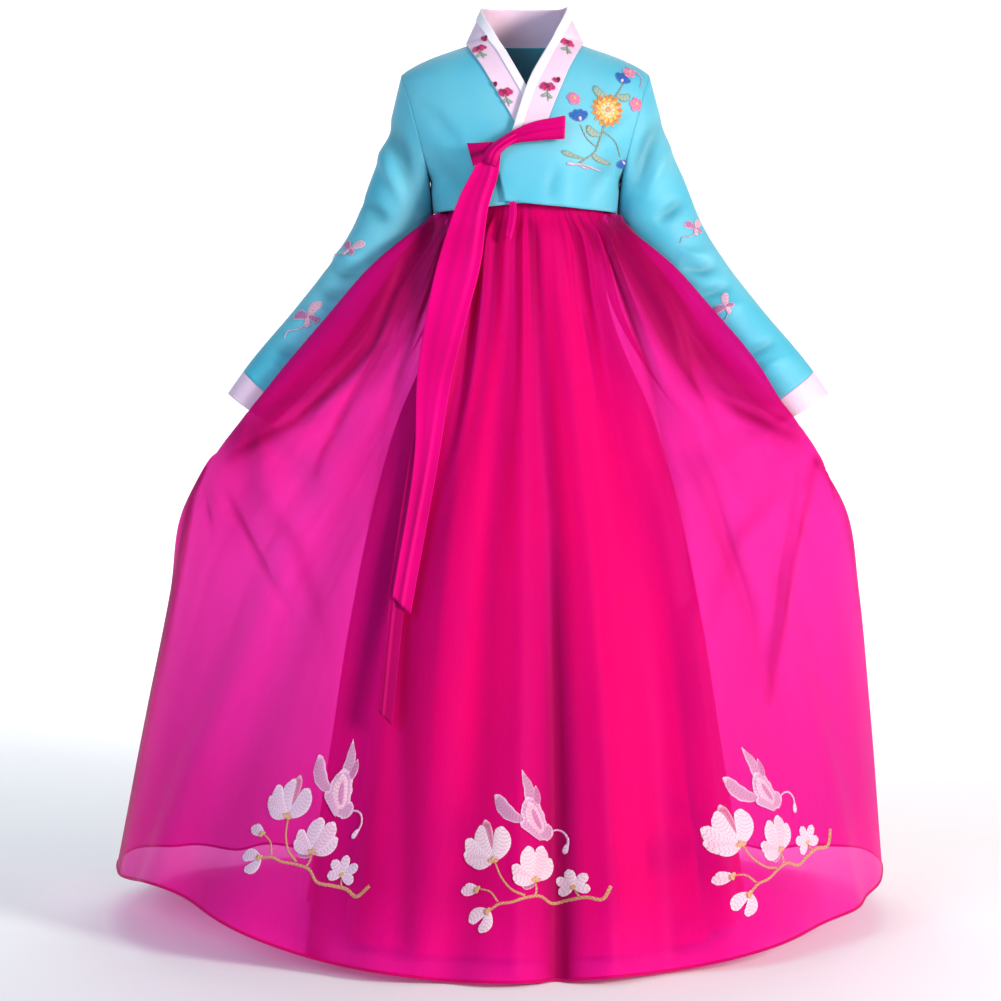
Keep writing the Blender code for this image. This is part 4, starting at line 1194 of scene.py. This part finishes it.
# stitches drawn in units of about a millimetre, right and up from a place on the cloth
class Drawing:
    def __init__(self, name):
        self.name = name
        self.parts = []
        self.count = 0
        self.tones = dict(threads)

    # turned is in degrees to the left, size is how many metres a unit is, wide stretches it sideways
    def on(self, place, turned=0.0, size=0.001, wide=1.0):
        self.place, self.turned, self.size, self.wide = place, math.radians(turned), size, wide
        return self

    def tone(self, name, cover=1.0):  # a thread's colour, and how much of the cloth it covers
        return np.array([*self.tones[name], cover])

    # lays a patch on the cloth: turned, scaled, and looked up in the grid of the cloth
    def patch(self, a, b, order, height, colour, u, v):
        a = a * self.wide
        cosine, sine = math.cos(self.turned), math.sin(self.turned)
        units = np.stack([a * cosine - b * sine, a * sine + b * cosine]) * self.size
        place = self.place
        row, column = place["start"][:, None, None] + np.tensordot(place["steps"], units, 1)
        points, normals = (sampleGrid(grid, row, column, place["closed"]) for grid in place["grids"])
        normals = unit(normals)
        height = np.broadcast_to(stitches["height"] * height, a.shape)
        points = pushed(points, stitches["lift"] + stitches["layer"] * order + height, normals)
        quads = gridCorners(np.arange(a.size).reshape(a.shape)).reshape(-1, 4)
        corner = points.reshape(-1, 3)[quads]
        facing = np.cross(corner[:, 1] - corner[:, 0], corner[:, 2] - corner[:, 0])
        if (facing * normals.reshape(-1, 3)[quads[:, 0]]).sum() < 0:
            quads = quads[:, ::-1]
        colour = np.broadcast_to(colour, (*a.shape, 4)).reshape(-1, 4)
        uv = np.stack(np.broadcast_arrays(u, v, a)[:2], -1).reshape(-1, 2) * self.size
        self.parts.append((points.reshape(-1, 3), quads + self.count, colour, uv))
        self.count += a.size

    # a petal, leaf or wing: its width swells from the base and rounds off at the tip, it bends to
    # one side, and its edge colour runs round it. Rows of stitches arch across it
    def petal(self, x, y, tipX, tipY, width, colour, edge, order=0, bend=0.0, cover=1.0, waves=0.0,
              full=(0.62, 0.34)):
        run = np.array([tipX - x, tipY - y])
        length = np.linalg.norm(run)
        t = np.linspace(0.012, 0.988, 17)[:, None]
        s = np.linspace(-1, 1, 11)
        swell = t ** full[0] * (1 - t) ** full[1]
        swell = width / 2 * swell / swell.max() * (1 + waves * np.cos(8 * np.pi * t))
        offset = (s * swell + bend * np.sin(np.pi * t)) / length
        along = t + 0.05 * (1 - s**2) * t
        rim = np.maximum(ease(0.72, 0.95, np.abs(s)), ease(0.86, 0.97, t))[..., None]
        colour = self.tone(colour, cover) * (1 - rim) + self.tone(edge) * rim
        height = (1 - s**4) * np.sqrt(np.clip(4 * t * (1 - t), 0, 1))
        self.patch(x + run[0] * along - run[1] * offset, y + run[1] * along + run[0] * offset, order, height,
                   colour, s * swell, (t - 0.16 * s**2) * length)

    # a stem: a rounded strip along a smooth line through its places, of two twisted colours
    def stem(self, places, width, endWidth, colour, edge, order=0):
        path = np.reshape(places, (-1, 2))
        reach = np.append(0, np.cumsum(np.linalg.norm(np.diff(path, axis=0), axis=1)))
        line = smoothCurve(np.column_stack([reach, path]), np.linspace(0, reach[-1], 6 * len(path)))
        along = unit(np.gradient(line, axis=0))
        share = np.linspace(0, 1, len(line))[:, None]
        s = np.linspace(-1, 1, 7)
        offset = s * (width + (endWidth - width) * share) / 2
        mix = (0.5 + 0.5 * np.sin(share * reach[-1] * 0.9 + 2.2 * s))[..., None]
        self.patch(line[:, :1] - along[:, 1:] * offset, line[:, 1:] + along[:, :1] * offset, order, 1 - s**2,
                   self.tone(colour) * mix + self.tone(edge) * (1 - mix), offset,
                   share * reach[-1] + 0.6 * offset)

    # one petal a row, in the order of the rows
    def petals(self, *rows):
        for row in rows:
            self.petal(*row)

    # one stem a row
    def stems(self, *rows):
        for row in rows:
            self.stem(*row)

    # one mesh of all patches, on the body. The cloth's slot is not used
    def finish(self, cloth):
        points, quads, colour, uv = (np.concatenate(values) for values in zip(*self.parts))
        made = quadObject(self.name, points, quads, stitchSilk, uv[quads])
        held = made.data.color_attributes.new("thread", "FLOAT_COLOR", "POINT")
        held.data.foreach_set("color", colour.astype(np.float32).ravel())
        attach(made, "root")


# the base of a petal and its tip at an angle from it, as a petal's first four values
def ray(x, y, length, degrees, squash=1.0):
    angle = math.radians(degrees)
    return x, y, x + length * math.cos(angle), y + squash * length * math.sin(angle)


# a mix of two colours
def blend(first, second, share):
    return tuple(p * (1 - share) + q * share for p, q in zip(first, second))


# magnolia branch with a butterfly over it
def magnoliaBranch(drawing, lilacShare):
    drawing.tones["petal"] = blend(threads["white"], threads["lilac"], lilacShare)
    drawing.tones["soft"] = blend(drawing.tones["petal"], threads["blush"], 0.5)
    drawing.stems(
        ((-54, -18, -40, -9, -24, -7, 0, 0, 22, 2, 40, -8, 64, -4, 86, -1, 104, -5, 118, 14), 3.6, 5, "gold",
         "brown"),
        ((-48, 50, -36, 26, -20, 10, -2, 3), 2.6, 3.4, "gold", "brown"),
        ((-70, 12, -54, 8, -42, -6), 2.2, 3, "gold", "brown"),
        ((14, 22, 16, 12, 14, 2), 3, 3.6, "gold", "brown"),
        ((72, 10, 74, 4, 80, -2), 2, 2.6, "gold", "brown"),
        ((104, -5, 112, 2, 116, 6), 2.4, 1.6, "brown", "gold", 1),
    )
    # large flower, middle flower and two buds, back petals first
    drawing.petals(
        (-52, 54, -64, 107, 17, "pink", "soft", 0, 0, 0.6),
        (-50, 50, -71, 99, 25, "petal", "edge", 1, 5),
        (-50, 50, -37, 97, 28, "petal", "edge", 2, -6),
        (-50, 50, -92, 80, 23, "petal", "edge", 3, 6),
        (-50, 50, -94, 61, 21, "soft", "edge", 4, 4),
        (-50, 50, -84, 50, 17, "petal", "edge", 5, 3),
        (16, 22, -6, 16, 14, "wing", "soft", 0, 0, 0.7),
        (14, 24, 40, 54, 19, "petal", "edge", 1, -5),
        (14, 24, 3, 70, 24, "petal", "edge", 2, 5),
        (14, 24, 25, 71, 23, "soft", "edge", 3, -3),
        (14, 24, -20, 43, 19, "soft", "edge", 4, 4),
        (14, 24, -19, 27, 17, "petal", "edge", 5, 2),
        (-70, 12, -96, 8, 15, "soft", "edge", 2),
        (-70, 12, -90, 17, 9, "petal", "edge", 3),
        (-54, -18, -82, -34, 18, "petal", "edge", 2, -4),
        (-54, -18, -66, -48, 16, "petal", "edge", 3, 4),
    )
    # small flower
    for angle, length in ((100, 25), (150, 24), (205, 20), (45, 25), (350, 21)):
        drawing.petal(*ray(70, 14, length, angle), 14, "petal", "edge", 2 + angle % 3)
    drawing.petal(66, 12, 74, 16, 7, "gold", "cream", 5)
    # calyxes with small curled points, turned the other way on the buds
    for x, y, size, turned in ((-50, 50, 9, 0), (14, 24, 8, 0), (-70, 12, 6, 60), (-54, -18, 6, 60)):
        for angle in (35, 95, 150):
            drawing.petal(*ray(x, y - 2, size, angle + turned), 5.5, "gold", "brown", 6)
        places = (x - size, y + 2, x - size * 1.2, y - 4, x - size * 0.4, y - 6)
        drawing.stem(places, 1.6, 1.2, "gold", "brown", 5)
    # butterfly: two slim wings behind, a hind wing, a broad fore wing with a smaller one laid on it
    drawing.petals(
        (2, 104, -48, 142, 21, "wingPale", "wingEdge", 1, 7, 0.8, 0.05, (0.8, 0.45)),
        (8, 112, -6, 176, 19, "wingPale", "wingEdge", 2, -6, 0.8, 0.06, (0.45, 0.75)),
        (14, 124, 16, 156, 13, "wing", "wingEdge", 3, -3, 0.8, 0, (0.5, 0.6)),
        (10, 96, 44, 92, 24, "wingPale", "wingEdge", 3, -1, 0.9, 0.06),
        (28, 84, 2, 138, 36, "wingPale", "wingEdge", 4, 2, 0.95, 0.05, (0.5, 0.42)),
        (25, 90, 4, 132, 23, "blush", "wingEdge", 6, 2, 1, 0.04, (0.5, 0.5)),
        (23, 96, 9, 124, 9, "wing", "wingPale", 8, 1, 1, 0, (0.5, 0.5)),
        (24, 80, -8, 104, 14, "wingPale", "wingEdge", 5, -3),
    )
    drawing.stem((40, 92, 50, 96, 60, 94, 67, 84, 66, 70), 2.2, 3.4, "wingEdge", "wingPale", 4)
    drawing.petal(66, 76, 62, 62, 8, "wingEdge", "wingPale", 5)


# a flower of the collar: a low peony, seen from the side, with two curled leaves under it
def collarFlower(drawing):
    for angle, length, width in ((178, 12, 9), (140, 12, 9), (98, 9, 9), (52, 12, 9), (6, 12, 9), (-40, 8, 8),
                                 (-140, 8, 8)):
        drawing.petal(*ray(0, 0, length, angle, 0.75), width, "rose", "rosePale", 1 + abs(angle) % 3)
    drawing.petals(
        (-3, -2, 3, 3, 5, "crimson", "rose", 5),
        (-5, 2, -1, 5, 3, "crimson", "rose", 5),
        (0, -8, -8, -15, 6, "leafPale", "leaf", 1, 1.5),
        (1, -8, 8, -17, 6, "leafPale", "leaf", 1, -1.5),
    )
    drawing.stem((0, -5, 1, -12, 3, -22), 1.6, 1.2, "leaf", "leafPale", 1)


# a spray of chrysanthemum, bellflowers and blossom on the chest
def chestSpray(drawing):
    drawing.stems(
        ((-32, -78, -20, -56, -10, -30, -2, -6, 8, 18, 24, 40, 34, 58), 2.6, 2, "leaf", "leafPale"),
        ((-14, -40, -26, -28, -34, -12), 2.2, 1.8, "leaf", "leafPale"),
        ((-6, -18, 10, -32, 16, -52), 2.2, 1.8, "leaf", "leafPale"),
    )
    # chrysanthemum: three rings of petals
    for ring, count, length, colour, edge in (
        (0, 15, 21, "orange", "yellow"), (1, 12, 16, "yellow", "cream"), (2, 9, 10, "cream", "yellow"),
    ):
        for place in range(count):
            tip = ray(2, 8, length, 360 * (place + 0.5 * ring) / count)
            drawing.petal(*tip, 6.5 - ring, colour, edge, 1 + 2 * ring + place % 2, 0.8)
    drawing.petal(-2, 6, 6, 10, 7, "gold", "brown", 8)
    # bellflowers, blossoms, leaves and white petals
    for x, y, turned in ((-34, -8, 100), (22, 44, 60), (17, -56, -70)):
        for spread in (-42, -14, 14, 42):
            drawing.petal(*ray(x, y, 15, turned + spread), 8, "blue", "sky", 2 + (spread > 0))
        drawing.petal(*ray(x, y, 6, turned), 4, "white", "sky", 5)
    for x, y, size in ((36, 62, 10), (42, 16, 9), (-40, 20, 8)):
        for place in range(5):
            tip = ray(x, y, size, 72 * place + math.degrees(0.4))
            drawing.petal(*tip, 8, "pink", "rosePale", 2 + place % 2)
        drawing.petal(x - 2, y, x + 2, y + 1, 4, "yellow", "gold", 5)
    for *places, bend in ((-24, -62, -44, -52, 3), (-18, -50, 2, -66, -3), (-8, -24, -26, -14, 3),
                          (4, 24, -14, 38, 3), (14, 28, 34, 26, -3)):
        drawing.petal(*places, 10, "leafPale", "leaf", 1, bend)
    for *tip, bend in ((-46, -92, 3), (-30, -98, -3), (-14, -94, 3)):
        drawing.petal(-32, -78, *tip, 8, "white", "rosePale", 3, bend)
    drawing.stem((34, 58, 46, 66, 54, 56, 50, 40), 1.6, 1.2, "pink", "rosePale", 2)


# a small butterfly of the sleeves
def sleeveButterfly(drawing):
    drawing.petals(
        (0, 0, 26, 14, 15, "blush", "white", 1, 3, 1, 0.06),
        (0, 0, -20, 15, 16, "wing", "white", 2, -3, 0.9, 0.06),
        (0, 2, -6, -12, 9, "blush", "white", 3),
        (2, 2, 12, -10, 10, "wing", "white", 3, 0, 0.9),
    )
    drawing.stem((-6, -8, -20, -10, -34, -6, -42, -14), 1.8, 1.4, "white", "blush", 3)


# place in x and z, degrees, and a share, width and size for each motif
for name, x, z, turned, lilacShare, wide, size in (
    ("left", -0.330, -1.200, -28, 0.45, 0.92, 0.00104),
    ("centre", 0.000, -1.228, 0, 0.0, 1.0, 0.001),
    ("right", 0.364, -1.220, 21, 0.15, 1.10, 0.001),
):
    drawing = Drawing("embroideryHem_" + name)
    place = drawingPlace(skirtPoints, skirtNormals, x, z, True, 9)
    magnoliaBranch(drawing.on(place, turned, size, wide), lilacShare)
    drawing.finish("pink_organza")

drawing = Drawing("embroideryCollar")
for x, z, turned in ((-0.069, -0.020, 12), (-0.030, -0.088, 8), (0.063, -0.010, -8), (0.033, -0.080, -6)):
    collarFlower(drawing.on(drawingPlace(collarPoints, collarNormals, x, z, False, 3), turned))
for x, z in ((-0.049, -0.076), (0.046, -0.070), (-0.062, -0.004)):  # buds
    drawing.on(drawingPlace(collarPoints, collarNormals, x, z, False, 3)).petals(
        (2, -4, -5, 4, 7, "rose", "rosePale", 2), (2, -4, 3, 5, 6, "crimson", "rose", 3)
    )
drawing.finish("lilac_satin")

outerNormals = gridNormals(outerFront)
outerNormals *= -np.sign(outerNormals[..., 1].sum())
drawing = Drawing("embroideryChest")
chestSpray(drawing.on(drawingPlace(outerFront, outerNormals, 0.122, -0.122, False, 8), size=0.0012))
drawing.finish("aqua_satin")

for side, where, spots in (
    (-1, "left", ((-0.268, -0.322, -20, 0.0009), (-0.330, -0.424, 20, 0.00105))),
    (1, "right", ((0.258, -0.290, 30, 0.0008), (0.306, -0.408, 60, 0.0008))),
):
    drawing = Drawing("embroiderySleeve_" + where)
    for x, z, turned, size in spots:
        place = drawingPlace(*sleeveGrids["sleeve", side], x, z, True, 4)
        sleeveButterfly(drawing.on(place, turned, size))
    drawing.finish("aqua_satin")
print("embroidery made")


# Stage


stage = dict(
    front=-16.0,
    wall=9.0,
    height=9.0,
    bend=2.5,
    halfWidth=18.0,
    # name, place, target, size, power, colour
    lights=(
        ("keyLight", (3.0, -2.9, 0.4), (0, 0, -0.8), 1.1, 182, (1.0, 0.90, 0.86)),
        ("fillLight", (-2.6, -3.6, 1.2), (0, 0, -0.4), 2.4, 85, (0.52, 0.80, 1.0)),
        ("backdropLight", (0.0, 4.5, 5.0), (0, 9.5, -0.4), 5.0, 800, (1, 1, 1)),
    ),
    sky=(0.88, 0.94, 1.0, 1),
    skyStrength=0.32,
    cameraPlace=(-0.038, -4.0, -0.35),
    cameraTilt=84.87,
    focalLength=92.8,
)


# an object in the scene at a place
def placed(name, data, location):
    made = bpy.data.objects.new(name, data)
    made.location = location
    bpy.context.scene.collection.objects.link(made)
    return made


# a floor that curves up into a backdrop: a straight line, a quarter circle, a straight line
turn = np.linspace(0, np.pi / 2, 24)
y = stage["wall"] + stage["bend"] * np.concatenate([[0], np.sin(turn), [1]])
z = floorHeight + np.concatenate([[0], stage["bend"] * (1 - np.cos(turn)), [stage["height"]]])
y[0] = stage["front"]
finish = Finish("paleFloor", 0.2)
grain = finish.noise(finish.objectPlace(), 3.0, 3.0)
finish.feed(Base_Color=finish.mix(grain, (0.93, 0.93, 0.94), (0.90, 0.90, 0.91)), Roughness=grain * 0.2 + 0.7)
points = np.stack(np.broadcast_arrays(stage["halfWidth"] * np.array([-1, 1]), y[:, None], z[:, None]), -1)
quads = gridCorners(np.arange(2 * len(y)).reshape(-1, 2)).reshape(-1, 4)[:, ::-1]
quadObject("floor", points, quads, finish.material)

for name, location, target, size, power, colour in stage["lights"]:
    lamp = bpy.data.lights.new(name, "AREA")
    lamp.size, lamp.energy, lamp.color = size, power, colour
    direction = Vector(target) - Vector(location)
    placed(name, lamp, location).rotation_euler = direction.to_track_quat("-Z", "Y").to_euler()
world = bpy.data.worlds.new("studio")
world.use_nodes = True
world.node_tree.nodes["Background"].inputs["Color"].default_value = stage["sky"]
world.node_tree.nodes["Background"].inputs["Strength"].default_value = stage["skyStrength"]
bpy.context.scene.world = world
lens = bpy.data.cameras.new("camera")
lens.lens = stage["focalLength"]
lens.sensor_width = 36
camera = placed("camera", lens, stage["cameraPlace"])
camera.rotation_euler = (math.radians(stage["cameraTilt"]), 0, 0)
bpy.context.scene.camera = camera
bpy.context.scene.view_settings.view_transform = "Standard"
print("stage made")
